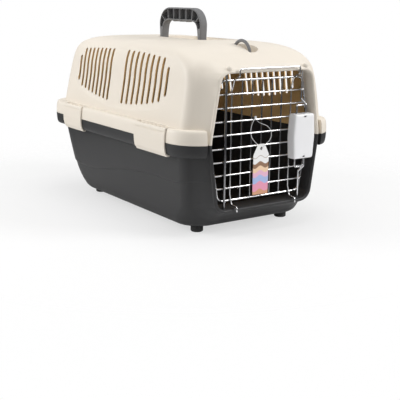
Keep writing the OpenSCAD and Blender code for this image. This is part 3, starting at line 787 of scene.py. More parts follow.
@dataclass(frozen=True)
class ShellForm:
    """A moulded shell as a stack of rectangles with round corners.

    A row holds the share of the way from the joint, then how far the side, the front and the rear have
    drawn in from the joint, and the corner radius. Beside the doorway the front is set back by front_set
    and its corners are tighter by front_round, both fading out between two shares.
    """

    rows: tuple[tuple[float, ...], ...]
    joint: float
    rise: float
    half: float = 138.0
    reach: float = 225.0
    side_steps: int = 76
    end_steps: int = 36
    corner_steps: int = 20
    front_round: float = 1.0
    front_set: float = 0.0
    front_fade: tuple[float, float] = (0.72, 0.92)

    def shares(self, per_gap: int) -> np.ndarray:
        """The shares of the levels.

        Args:
            per_gap: Levels between two rows.

        Returns:
            The shares.
        """
        return smooth_rows(self.rows, per_gap)[:, 0]

    @cached_property
    def table(self) -> np.ndarray:
        """Finer rows, in the order of their shares."""
        fine = smooth_rows(self.rows, 40)
        return fine[np.argsort(fine[:, 0])]

    def drawn_in(self, share: np.ndarray | float) -> list[np.ndarray]:
        """What the rows say at some shares.

        Args:
            share: The shares of the way from the joint.

        Returns:
            How far the side, the front and the rear have drawn in, and the corner radius.
        """
        return [np.interp(share, self.table[:, 0], self.table[:, k]) for k in (1, 2, 3, 4)]

    def share_at(self, z: float) -> float:
        """The share of the way from the joint at a height."""
        return (z - self.joint) / self.rise

    def ring(self, share: np.ndarray, inset: float) -> tuple[np.ndarray, np.ndarray]:
        """One level of the shell.

        Args:
            share: The share of the way from the joint, for each point of the ring or for all.
            inset: How far the level is drawn in.

        Returns:
            The points, and the flat direction in which each looks.
        """
        share = np.broadcast_to(share, (self.count(),))
        side, front, rear, corner = self.drawn_in(share)
        half = self.half - side - inset
        ahead = self.reach - front - inset
        behind = self.reach - rear - inset
        fade_from, fade_to = self.front_fade
        low = 1 - eased((share - fade_from) / (fade_to - fade_from))
        tight = 1 - (1 - self.front_round) * low
        ahead = ahead - self.front_set * low
        rear_corner = corner - inset
        front_corner = corner * tight - inset
        across, along, angle = self._layout()
        corner = np.where(along < 0, front_corner, rear_corner)
        x = across * (half - corner) + corner * np.cos(angle)
        mixed = (along + 1) / 2 * (behind - rear_corner) - (1 - along) / 2 * (ahead - front_corner)
        y = mixed + corner * np.sin(angle)
        z = self.joint + share * self.rise - math.copysign(inset, self.rise) * share
        return np.stack([x, y, z], 1), np.stack([np.cos(angle), np.sin(angle)], 1)

    def count(self) -> int:
        """How many points a level has."""
        return 4 * (self.corner_steps + 1) + 2 * (self.side_steps - 1) + 2 * (self.end_steps - 1)

    def _layout(self) -> tuple[np.ndarray, np.ndarray, np.ndarray]:
        """Where the points of a level lie: across, along, and the direction of the corner's arc."""
        across, along, angle = [], [], []
        corners = ((1, 1), (-1, 1), (-1, -1), (1, -1))
        for i, (sx, sy) in enumerate(corners):
            for s in range(self.corner_steps + 1):
                across.append(sx)
                along.append(sy)
                angle.append(math.pi / 2 * (i + s / self.corner_steps))
            to_x, to_y = corners[(i + 1) % 4]
            steps = self.end_steps if i % 2 == 0 else self.side_steps
            for s in range(1, steps):
                t = s / steps
                across.append(sx + (to_x - sx) * t)
                along.append(sy + (to_y - sy) * t)
                angle.append(math.pi / 2 * (i + 1))
        return np.array(across, float), np.array(along, float), np.array(angle)

    def solid(self, shares: Sequence[float], inset: float, name: str,
              shaped: Callable[[np.ndarray, np.ndarray], np.ndarray] | None = None) -> bpy.types.Object:
        """The solid inside the stack of levels.

        Args:
            shares: The levels.
            inset: How far it is drawn in.
            name: Its name.
            shaped: What changes the points of each level, given the points and their directions.

        Returns:
            The solid.
        """
        rings = []
        for share in shares:
            points, facing = self.ring(share, inset)
            rings.append(shaped(points, facing) if shaped else points)
        return Shape().loft(rings).make(name)


@dataclass(frozen=True)
class Rim:
    """The band round each shell at the joint."""

    half: float = 151.0
    reach: float = 238.0
    corner: float = 52.0
    joint: float = JOINT
    stop_x: float = 113.0
    stop_run: float = 40.0
    profile: tuple[tuple[float, float], ...] = (
        (0.0, 0.7), (0.035, 0.12), (0.45, 0.5), (0.75, 1.3), (0.90, 2.3), (0.97, 3.3), (1.0, 4.6))

    def solid(self, height: float, name: str) -> bpy.types.Object:
        """The band as a full block, open in front.

        Args:
            height: Its height, below zero when it goes down from the joint.
            name: Its name.

        Returns:
            The solid.
        """
        form = ShellForm(((0, 0, 0, 0, self.corner), (1, 0, 0, 0, self.corner)), self.joint, height,
                         self.half, self.reach, side_steps=40, end_steps=24, corner_steps=24)
        rings = []
        for share, inset in self.profile:
            points, _ = form.ring(share, inset)
            points[:, 2] = self.joint + share * height
            rings.append(points)
        block = Shape().loft(rings).make(name)
        front = -self.reach
        gap = Shape().box((-self.stop_x, front - 5, 0), (self.stop_x, front + self.stop_run, HIGH))
        return carve(block, [(Join.TAKE, gap.make("rim_gap"))])


DOOR_HOLE = Doorway()
RIM = Rim()
# The share where a shell's hollow starts, just past the joint
HOLLOW_START = -0.02


def door_bores() -> bpy.types.Object:
    """The holes for the hinge rod and the bolts in the doorway's frame."""
    shape = Shape()
    for x, y, low, high, radius in ((ROD_X, ROD_Y, 30, 256.2, 2.06), (BOLT_X, BOLT_Y, 30, 257.8, 2.0)):
        shape.rod((x, y, low), (x, y, high), radius)
    return shape.make("door_bores")


def paint_inner_shade(thing: bpy.types.Object, form: ShellForm, outer: Finish, inner: Finish,
                 rule: Callable[[bpy.types.MeshPolygon], bool | None] | None = None) -> None:
    """Gives the inner wall of a shell painted shade, a shaded copy of its finish.

    Args:
        thing: The shell.
        form: Its form.
        outer: The finish outside.
        inner: The finish inside, with painted shade.
        rule: Says of a face that it is inner or outer, or None to leave it to its place.
    """
    mesh = thing.data
    mesh.materials.clear()
    mesh.materials.append(outer.material())
    mesh.materials.append(inner.material())
    depth = 1.9
    high = form.joint + form.rise - math.copysign(depth, form.rise)
    for face in mesh.polygons:
        x, y, z = face.center / MM
        side, front, rear, _ = form.drawn_in(form.share_at(z))
        ahead = form.reach - front - form.front_set - depth
        behind = form.reach - rear - depth
        within = abs(x) < form.half - side - depth and -ahead < y < behind
        under = (z < high) if form.rise > 0 else (z > high)
        said = rule(face) if rule else None
        is_inner = within and under and looks_in(face, x, y) if said is None else said
        face.material_index = 1 if is_inner else 0


def looks_in(face: bpy.types.MeshPolygon, x: float, y: float) -> bool:
    """Whether a face looks into the cabin: inwards, down from the roof or up from the floor.

    Args:
        face: The face.
        x: Its middle, across.
        y: Its middle, along.

    Returns:
        True if it does.
    """
    middle_z = 150.0
    along_weight = 0.5
    least = 0.05
    inward = Vector((-x, -y * along_weight, middle_z - face.center.z / MM))
    return face.normal.dot(inward.normalized()) > least


@dataclass
class TopShell:
    """The cream upper shell with its vents, pockets and recess.

    The last slot of a group starts higher and ends lower by last_slot. The edges of the recess and of a
    pocket hold heights above the floor or the pins, with how far the outline is drawn in there.
    """

    wall: float = 2.6
    band: float = 22.0
    slots: int = 9
    slot_width: float = 6.3
    rear_pitch: float = 13.8
    front_pitch: float = 16.0
    rear_first: float = 34.5
    front_first: float = -15.5
    slot_lean: float = 2.0
    slot_steps: int = 8
    slot_low: float = 190.3
    slot_low_bow: float = 0.00092
    slot_top: float = 272.0
    slot_top_bow: float = 0.00028
    last_slot: tuple[float, float] = (6.0, 12.0)
    slot_x: tuple[float, float] = (70.0, 151.0)
    recess_low: tuple[float, float, float] = (-15.5, -75.5, 274.0)
    recess_high: tuple[float, float] = (77.5, 66.5)
    recess_corner: float = 12.0
    recess_edge: Profile = ((0.0, 3.6), (0.9, 1.5), (2.6, 0.5), (5.0, 0.0))
    recess_mouth: float = -0.6
    boss_x: tuple[float, float] = (-11.0, 1.0)
    boss_y: Profile = ((-85.0, -67.3), (58.3, 78.0))
    boss_z: tuple[float, float] = (262.0, 289.5)
    boss_round: float = 2.2
    pocket_half: float = 24.5
    pocket_left: float = 3.4
    pocket_middle: float = 0.5
    pocket_floor: Profile = ((-3.4, 0.9), (-2.5, 0.0))
    pocket_high: float = 34.0
    pocket_centre: float = 8.0
    panel_depth: float = 0.8
    panel_soft: float = 3.2
    panel_fade: tuple[float, float] = (214.0, 40.0)
    vent_zone: tuple[float, float, float, float] = (100.0, 150.0, 186.0, 274.0)
    notch_x: tuple[float, float] = (140.3, 162.0)
    notch_z: tuple[float, float] = (161.3, 185.0)
    clip_end: float = 0.5
    pin_x: float = 145.5
    pin_z: float = 166.0
    pin_radius: float = 2.0
    bump: tuple[float, float, float] = (-232.5, 259.5, 4.3)
    rings: tuple[tuple[float, float, float], ...] = ((-165.0, 274.0, 7.0), (150.0, 280.0, -5.0))
    form: ShellForm = ShellForm((
        (0.00, 0.0, 0, 0, 46), (0.16, 1.5, 0, 2, 46), (0.35, 5.5, 1, 6, 45), (0.56, 10.5, 3, 11, 44),
        (0.70, 13.5, 7, 16, 44), (0.80, 16.5, 14, 21, 44), (0.875, 20.5, 26, 28, 44),
        (0.93, 28.5, 43, 38, 44), (0.967, 41.5, 64, 52, 43), (0.988, 61.0, 90, 72, 40),
        (1.00, 92.0, 120, 100, 30)), JOINT, 143.5, front_round=0.45, front_set=10.0)

    def panel_edge(self, y: np.ndarray) -> np.ndarray:
        """The height of the arc under the vents.

        Args:
            y: Places along the side.

        Returns:
            The heights.
        """
        line = smooth_rows(((-186, 262), (-172, 232), (-160, 214), (-143, 200), (-113, 190), (-66, 183.2),
                            (-16, 179.6), (33, 180), (85, 188), (125, 198.5), (143, 212), (152, 232),
                            (160, 262)), 6)
        return np.interp(y, line[:, 0], line[:, 1], left=2 * FAR, right=2 * FAR)

    def shaped(self, points: np.ndarray, facing: np.ndarray) -> np.ndarray:
        """Sinks the vent panels a little and sweeps the front out to the doorway.

        Args:
            points: Points of one level.
            facing: The direction in which each looks.

        Returns:
            The moved points.
        """
        depth = self.panel_depth * eased((points[:, 2] - self.panel_edge(points[:, 1])) / self.panel_soft)
        fade_from, fade_run = self.panel_fade
        depth *= 1 - eased((points[:, 2] - fade_from) / fade_run)
        out = points.copy()
        out[:, :2] -= facing * depth[:, None]
        return DOOR_HOLE.flared(out)

    def slot_cut(self) -> bpy.types.Object:
        """The solids that cut the four groups of vents."""
        shape = Shape()
        for side in (-1, 1):
            for first, pitch in ((self.rear_first, self.rear_pitch), (self.front_first, -self.front_pitch)):
                for i in range(self.slots):
                    ring = self.slot_outline(first + i * pitch, i == self.slots - 1)
                    shape.loft([[(side * x, y, z) for y, z in ring] for x in self.slot_x])
        return shape.make("slot_cut")

    def slot_outline(self, y: float, last: bool) -> Points:
        """The outline of one slot in Y and Z: a long hole with round ends, leaning a little.

        Args:
            y: The place of its lower end.
            last: Whether it is the last of its group, which is shorter.

        Returns:
            Its points.
        """
        radius = self.slot_width / 2
        less_low, less_high = self.last_slot if last else (0, 0)
        low = self.slot_low + self.slot_low_bow * y * y + less_low
        high = self.slot_top - self.slot_top_bow * y * y - less_high
        lean = math.atan(self.slot_lean / (high - low))
        ring = []
        for up, start in ((high - low, 0.0), (0.0, math.pi)):
            for s in range(self.slot_steps + 1):
                a = start + math.pi * s / self.slot_steps
                ring.append((radius * math.cos(a), up + radius * math.sin(a)))
        return [(y + u * math.cos(lean) - v * math.sin(lean), low + u * math.sin(lean) + v * math.cos(lean))
                for u, v in ring]

    def recess(self, grow: float, name: str) -> bpy.types.Object:
        """The space in the roof that the handle folds into.

        Args:
            grow: How far it is moved outwards.
            name: The solid's name.

        Returns:
            The solid.
        """
        x0, y0, z0 = self.recess_low
        x1, y1 = self.recess_high
        levels = [(z0 + up - grow, inset) for up, inset in self.recess_edge]
        rings = []
        for z, inset in (*levels, (HIGH, self.recess_mouth)):
            low_x, low_y = x0 - grow + inset, y0 - grow + inset
            high_x, high_y = x1 + grow - inset, y1 + grow - inset
            outline = round_outline([(low_x, low_y), (high_x, low_y), (high_x, high_y), (low_x, high_y)],
                                    [self.recess_corner + grow - inset] * 4, 10)
            rings.append([(x, y, z) for x, y in outline])
        return Shape().loft(rings).make(name)

    def bosses(self) -> bpy.types.Object:
        """The blocks in the recess that hold the handle's pins."""
        shape = Shape()
        for low, high in self.boss_y:
            shape.box((self.boss_x[0], low, self.boss_z[0]), (self.boss_x[1], high, self.boss_z[1]),
                      self.boss_round)
        return shape.make("bosses")

    def pocket(self, y: float, z: float, tilt: float, grow: float, name: str) -> bpy.types.Object:
        """The D-shaped pocket of a strap ring.

        Args:
            y: Its middle along the roof.
            z: The height of the ring's pins.
            tilt: How far it leans, in degrees.
            grow: How far it is moved outwards.
            name: The solid's name.

        Returns:
            The solid.
        """
        half, left = self.pocket_half + grow, self.pocket_left + grow
        outline = [(-left, half), (-left, -half)]
        steps = 32
        for s in range(steps + 1):
            a = math.radians(-90 + 180 * s / steps)
            outline.append((self.pocket_middle + half * math.cos(a), half * math.sin(a)))
        levels = [(up - grow, inset) for up, inset in self.pocket_floor]
        centre = self.pocket_centre
        rings = []
        for up, inset in (*levels, (self.pocket_high, 0.0)):
            share = 1 - inset / half
            rings.append([((x - centre) * share + centre, v * share, up) for x, v in outline])
        return Shape().loft(rings).moved(self.pocket_place(y, z, tilt)).make(name)

    @staticmethod
    def pocket_place(y: float, z: float, tilt: float) -> Matrix:
        """Where a strap ring's pocket sits, in millimetres.

        Args:
            y: Its middle along the roof.
            z: The height of the ring's pins.
            tilt: How far it leans, in degrees.

        Returns:
            The matrix from its own frame.
        """
        return Matrix.Translation((0, y, z)) @ Matrix.Rotation(math.radians(tilt), 4, "X")

    def in_pockets(self, point: Vector) -> bool:
        """Whether a point lies on the wall of the recess or of a ring's pocket.

        Args:
            point: The point, in millimetres.

        Returns:
            True if it does.
        """
        near = 0.7
        x0, y0, z0 = self.recess_low
        x1, y1 = self.recess_high
        if x0 - near < point.x < x1 + near and y0 - near < point.y < y1 + near and point.z > z0 - near:
            return True
        low, high = -self.pocket_left - near, self.pocket_middle + self.pocket_half + near
        for ring in self.rings:
            local = self.pocket_place(*ring).inverted() @ point
            if low < local.x < high and abs(local.y) < self.pocket_half + near and local.z > low:
                return True
        return False

    def wall_rule(self, face: bpy.types.MeshPolygon) -> bool | None:
        """Says which faces get the inner finish with painted shade whatever their place.

        Args:
            face: The face.

        Returns:
            True for the cut walls of the vents, which get the painted shade, False in the pockets, None
            elsewhere.
        """
        point = face.center / MM
        across = 0.6
        skin = 0.5
        x_low, y_far, z_low, z_high = self.vent_zone
        if x_low < abs(point.x) and abs(point.y) < y_far and z_low < point.z < z_high:
            side = self.form.drawn_in(self.form.share_at(point.z))[0]
            if abs(face.normal.y) > across and abs(point.x) < self.form.half - side - skin:
                return True
        return False if self.in_pockets(point) else None

    def clip_cuts(self) -> bpy.types.Object:
        """The notches in the band for the side clips."""
        shape = Shape()
        for y, length in CLIPS:
            low, high = y - length / 2 - self.clip_end, y + length / 2 + self.clip_end
            for side in (-1, 1):
                x0, x1 = sorted((side * self.notch_x[0], side * self.notch_x[1]))
                shape.box((x0, low, self.notch_z[0]), (x1, high, self.notch_z[1]))
        return shape.make("clip_cuts")

    def clip_pins(self) -> bpy.types.Object:
        """The pins that the side clips turn on."""
        shape = Shape()
        for y, length in CLIPS:
            half = length / 2 + 2 * self.clip_end
            for side in (-1, 1):
                x = side * self.pin_x
                shape.rod((x, y - half, self.pin_z), (x, y + half, self.pin_z), self.pin_radius)
        return shape.make("clip_pins")

    def bumps(self) -> bpy.types.Object:
        """The soft bumps above the doorway, over the ends of the hinge rod and the upper bolt."""
        y, z, radius = self.bump
        shape = Shape()
        for x in (ROD_X, BOLT_X):
            shape.ball((x, y, z), radius, levels=3)
        return shape.make("bumps")

    def build(self) -> None:
        """Makes the shell and dresses it."""
        hollow = self.form.solid([HOLLOW_START, *self.form.shares(5)], self.wall, "top_hollow")
        trays = [self.pocket(*ring, self.wall, f"pocket_tray_{i}") for i, ring in enumerate(self.rings)]
        carve(hollow, [(Join.TAKE, tray) for tray in (self.recess(self.wall, "recess_tray"), *trays)])
        opening = carve(self.recess(0, "recess_cut"), [(Join.TAKE, self.bosses())])
        shell = self.form.solid(self.form.shares(12), 0, "upper_shell", self.shaped)
        carve(shell, [
            (Join.ADD, RIM.solid(self.band, "top_band")),
            (Join.ADD, DOOR_HOLE.frame_solid(JOINT, HIGH)),
            (Join.ADD, self.bumps()),
            (Join.TAKE, hollow),
            (Join.TAKE, DOOR_HOLE.cut()),
            (Join.TAKE, opening),
            *[(Join.TAKE, self.pocket(*r, 0, f"pocket_{i}")) for i, r in enumerate(self.rings)],
            (Join.TAKE, self.clip_cuts()),
            (Join.ADD, self.clip_pins()),
            (Join.TAKE, door_bores()),
            (Join.TAKE, self.slot_cut()),
        ])
        # The inner walls and the vents' cut walls get the cream's painted shade
        paint_inner_shade(shell, self.form, CREAM, CREAM_PAINTED_SHADE, self.wall_rule)
        dress(shell, CREAM, "carrier", "top_plastic", "top_shell")


@dataclass
class Tub:
    """The charcoal lower shell with its wavy step."""

    wall: float = 2.6
    band: float = -19.0
    step: float = -1.5
    line_share: float = 0.56
    step_levels: tuple[float, ...] = (-0.028, -0.021, -0.015, -0.010, -0.005, 0.0, 0.006, 0.013)
    step_run: float = 0.022
    step_clear: float = 0.032
    fade_from: float = 0.9
    fade_run: float = 0.1
    form: ShellForm = ShellForm((
        (0.00, 0.0, 0, 0, 46), (0.18, 3.0, 3, 4.5, 46), (0.40, 6.5, 6, 11, 46), (0.62, 10.0, 10, 19, 46),
        (0.77, 13.0, 14, 27, 46), (0.88, 16.5, 18, 36, 46), (0.95, 20.5, 23, 45, 43),
        (0.985, 24.5, 28, 52, 40), (1.00, 28.0, 33, 58, 36)), JOINT, -136.5, front_round=0.45, front_set=10.0)

    def wave(self, y: np.ndarray) -> np.ndarray:
        """The height of the step along the side.

        Args:
            y: Places along the side.

        Returns:
            The heights.
        """
        line = smooth_rows(((-245, 91), (-205, 89), (-166, 83), (-113, 84), (-60, 80.5), (7, 71.5), (60, 61),
                            (107, 55.5), (150, 56), (180, 58), (245, 58)), 6)
        return np.interp(y, line[:, 0], line[:, 1])

    def rings(self) -> list[np.ndarray]:
        """The levels, warped so that one of them runs along the step.

        Returns:
            The rings of points.
        """
        near = [self.line_share + d for d in self.step_levels]
        far = [s for s in self.form.shares(8) if abs(s - self.line_share) > self.step_clear]
        line_z = self.form.joint + self.line_share * self.form.rise
        rows = []
        for share in sorted(near + far):
            points, _ = self.form.ring(share, 0)
            tent = share / self.line_share if share < self.line_share else (1 - share) / (1 - self.line_share)
            warped = share + tent * (self.wave(points[:, 1]) - line_z) / self.form.rise
            points, facing = self.form.ring(warped, 0)
            lift = 0.0
            if share not in (0.0, 1.0):
                lift = self.step * eased((share - self.line_share) / self.step_run + 1) - self.step / 2
            fade = 1 if share < self.fade_from else (1 - share) / self.fade_run
            points[:, :2] += facing * (lift * fade)
            rows.append(DOOR_HOLE.flared(points))
        return rows

    def build(self) -> None:
        """Makes the tub and dresses it."""
        tub = Shape().loft(self.rings()).make("lower_tub")
        hollow = self.form.solid([HOLLOW_START, *self.form.shares(5)], self.wall, "tub_hollow")
        carve(tub, [
            (Join.ADD, RIM.solid(self.band, "tub_band")),
            (Join.ADD, DOOR_HOLE.frame_solid(20, JOINT)),
            (Join.TAKE, hollow),
            (Join.TAKE, DOOR_HOLE.cut()),
            (Join.TAKE, door_bores()),
        ])
        # The inner walls get the charcoal's painted shade
        paint_inner_shade(tub, self.form, CHARCOAL, CHARCOAL_PAINTED_SHADE)
        dress(tub, CHARCOAL, "carrier", "tub_plastic", "tub_shell")


# Handle and strap rings


@dataclass
class Handle:
    """The carry handle: an arch with a ribbed channel on one side and finger scallops under the grip."""

    x: float = -5.0
    y: float = -4.5
    pivot: float = 285.0
    thick: float = 14.0
    tall: float = 57.5 / 58.75
    open_depth: float = 9.0
    edge_wall: float = 2.2
    rib: float = 1.7
    scallop_pitch: float = 19.0
    scallop_depth: float = 2.2
    grip_half: float = 38.0
    grip_fade: float = 4.0
    edge_round: float = 1.7
    pin_radius: float = 3.0
    pin_ends: tuple[float, float] = (60.0, 67.0)
    half: tuple[tuple[float, float, float], ...] = (
        (58.5, -6, 8), (58.5, 8, 8), (58.2, 17, 9.5), (57.8, 25, 11.5), (56.3, 33, 14.5), (52, 40, 17.5),
        (45.5, 45, 20), (37, 47.5, 21.5), (28.5, 47.5, 22.5), (19, 47.5, 22.5), (9.5, 47.5, 22.5),
        (0, 47.5, 22.5))

    def stations(self) -> tuple[np.ndarray, np.ndarray, np.ndarray]:
        """The middle line from one foot over the top to the other.

        Returns:
            The points, the directions square to it on its outer side, and the widths.
        """
        left = [(-y, z * self.tall, w) for y, z, w in self.half]
        right = [(-y, z, w) for y, z, w in reversed(left[:-1])]
        fine = smooth_rows(left + right, 6)
        run = np.gradient(fine[:, :2], axis=0)
        run /= np.linalg.norm(run, axis=1)[:, None]
        return fine[:, :2], np.stack([-run[:, 1], run[:, 0]], 1), fine[:, 2]

    def outline(self) -> list[tuple[float, float]]:
        """The side view of the arch, in Y and Z from the pivot."""
        line, out, width = self.stations()
        outer = line + out * width[:, None] / 2
        inner = line - out * width[:, None] / 2
        flat = np.abs(line[:, 0]) < self.grip_half
        wave = self.scallop_depth * (np.abs(np.sin(np.pi * line[:, 0] / self.scallop_pitch)) - 0.5)
        inner[:, 1] += np.where(flat, wave * eased((self.grip_half - np.abs(line[:, 0])) / self.grip_fade), 0)
        return [tuple(p) for p in outer] + [tuple(p) for p in inner[::-1]]

    def channel(self) -> Shape:
        """The cut that opens the arch on its left side."""
        line, out, width = self.stations()
        foot = 18
        under_grip, thicker = 36.0, 0.8
        keep = slice(foot, len(line) - foot)
        outer = (line + out * (width[:, None] / 2 - self.edge_wall))[keep]
        inner = (line - out * (width[:, None] / 2 - self.edge_wall - 0.4))[keep]
        inner[:, 1] += np.where(np.abs(inner[:, 0]) < under_grip, thicker, 0)
        ring = [tuple(p) for p in outer] + [tuple(p) for p in inner[::-1]]
        x0, x1 = -self.thick / 2 - 2, -self.thick / 2 + self.open_depth
        rows = [[(x, y, z) for y, z in ring] for x in (x0, x1)]
        return Shape().loft(rows)

    def ribs(self) -> Shape:
        """The thin walls across the channel."""
        line, out, width = self.stations()
        first, every = 30, 12
        face = -self.thick / 2
        shape = Shape()
        for k in range(first, len(line) - first + 1, every):
            u = Vector(out[k])
            across = Vector((u.y, -u.x)) * self.rib / 2
            a = Vector(line[k]) + u * (width[k] / 2 - 1)
            b = Vector(line[k]) - u * (width[k] / 2 - 2.6)
            ring = [a + across, a - across, b - across, b + across]
            shape.loft([[(x, p.x, p.y) for p in ring] for x in (face + 0.9, face + 9.6)])
        return shape

    def build(self) -> None:
        """Makes the handle and dresses it."""
        ring = self.outline()
        half = self.thick / 2
        shape = Shape().loft([[(x, y, z) for y, z in ring] for x in (-half, half)])
        steep = 1.2
        rims = [
            edge for edge in shape.bm.edges
            if edge.calc_face_angle(0) > steep and abs(edge.verts[0].co.x - edge.verts[1].co.x) < 1
        ]
        bmesh.ops.bevel(shape.bm, geom=rims, offset=self.edge_round, affect="EDGES", segments=3, profile=0.5,
                        material=-1)
        place = Matrix.Translation((self.x, self.y, self.pivot))
        body = shape.moved(place).make("arch_handle", 40)
        pins = Shape()
        near, far = self.pin_ends
        for side in (-1, 1):
            pins.rod((0, side * near, 0), (0, side * far, 0), self.pin_radius)
        carve(body, [
            (Join.TAKE, self.channel().moved(place).make("channel")),
            (Join.ADD, self.ribs().moved(place).make("ribs")),
            (Join.ADD, pins.moved(place).make("handle_pins")),
        ], 40)
        dress(body, GREY, "handle", "grey_plastic", "carry_handle")


# The wire door


@dataclass
class WireDoor:
    """The door of welded wires with its hinge rod."""

    wire: float = 1.3
    edge: float = 1.8
    row_y: float = -222.3
    upright_y: float = -219.65
    edge_y: float = -219.15
    rows: int = 10
    upright_pitch: float = 19.5
    low_half: float = 81.0
    mid_half: float = 98.0
    top: float = 241.0
    corner: float = 12.0
    side_bend: float = 60.0
    guide: float = 3.2
    stay: tuple[tuple[float, float], ...] = (
        (-239.6, 41.5), (-238.6, 49.2), (-225.2, 50.5), (-219.65, 66), (-219.65, 226), (-225.4, 242),
        (-238.4, 248), (-238.8, 259))

    def outline(self) -> np.ndarray:
        """The path of the edge wire in X and Z."""
        low, mid = self.low_half, self.mid_half
        corners = [(-low, ROW_LOW), (low, ROW_LOW), (mid, JOINT), (low, self.top), (-low, self.top),
                   (-mid, JOINT)]
        return round_outline(corners, [self.corner, self.corner, self.side_bend] * 2, 12)

    def half_at(self, z: float) -> float:
        """How far the edge wire is from the middle at a height."""
        halves = (self.low_half, self.mid_half - 1, self.low_half)
        return float(np.interp(z, (ROW_LOW, JOINT, self.top), halves))

    def crossings(self) -> list[tuple[float, float]]:
        """The height of each cross wire, and how far from the middle it ends."""
        heights = [ROW_LOW + i * ROW_PITCH for i in range(1, self.rows - 1)]
        return [(z, self.half_at(z) + 2.2) for z in heights]

    def cross_wires(self) -> None:
        """Makes the cross wires and the two rings that guide the bolts."""
        cross = Shape()
        for z, half in self.crossings():
            cross.tube([(-half, self.row_y, z), (half, self.row_y, z)], self.wire, 16)
        above = 1.1
        steps = 36
        for i in (1, self.rows - 2):
            z = ROW_LOW + i * ROW_PITCH + above
            angles = (2 * math.pi * s / steps for s in range(steps))
            ring = [(BOLT_X + self.guide * math.cos(a), BOLT_Y + self.guide * math.sin(a), z) for a in angles]
            cross.tube(ring, self.wire, closed=True, guide=(0, 0, 1))
        dress(cross.make("cross_wires", 60), CHROME, "door", "chrome_wire", "door_cross_wires")

    def welds(self) -> None:
        """Makes the spots where the wires are welded together."""
        welds = Shape()
        for z, half in self.crossings():
            for k in range(-3, 4):
                welds.ball((k * self.upright_pitch, self.row_y + 1.3, z), 1.75, (1.25, 0.95, 1.0))
            for side in (-1, 1):
                welds.ball((side * (half - 2.4), self.row_y + 1.5, z), 2.0, (1.1, 0.9, 0.9))
        dress(welds.make("weld_spots", 60), CHROME, "door", "chrome_wire")

    def build(self) -> None:
        """Makes the wires and dresses them."""
        edge = Shape().tube([(x, self.edge_y, z) for x, z in self.outline()], self.edge, 16, closed=True)
        dress(edge.make("edge_wire", 60), CHROME, "door", "chrome_wire", "door_edge_wire")

        self.cross_wires()
        uprights = Shape()
        for k in range(-2, 3):
            x = k * self.upright_pitch
            ends = [(x, self.upright_y, ROW_LOW + 0.5), (x, self.upright_y, self.top - 0.5)]
            uprights.tube(ends, self.wire, 16)
        # The uprights get the chrome with painted shade
        dress(uprights.make("upright_wires", 60), CHROME_PAINTED_SHADE, "door", "chrome_wire", "door_upright_wires")
        self.welds()

        x = 3 * self.upright_pitch
        path = [(-x, y, z) for y, z in self.stay] + [(x, y, z) for y, z in reversed(self.stay)]
        stay = Shape().tube(bent_path(path, 3, 8), self.wire, guide=(1, 0.1, 0.1))
        dress(stay.make("stay_wire", 60), CHROME, "door", "chrome_wire", "door_stay_wire")

        rod = Shape().tube([(ROD_X, ROD_Y, 41.2), (ROD_X, ROD_Y, 255.6)], 2.0, 24)
        # The hinge rod gets the chrome with painted shade
        dress(rod.make("hinge_bar", 60), CHROME_PAINTED_SHADE, "door", "chrome_wire", "hinge_rod")


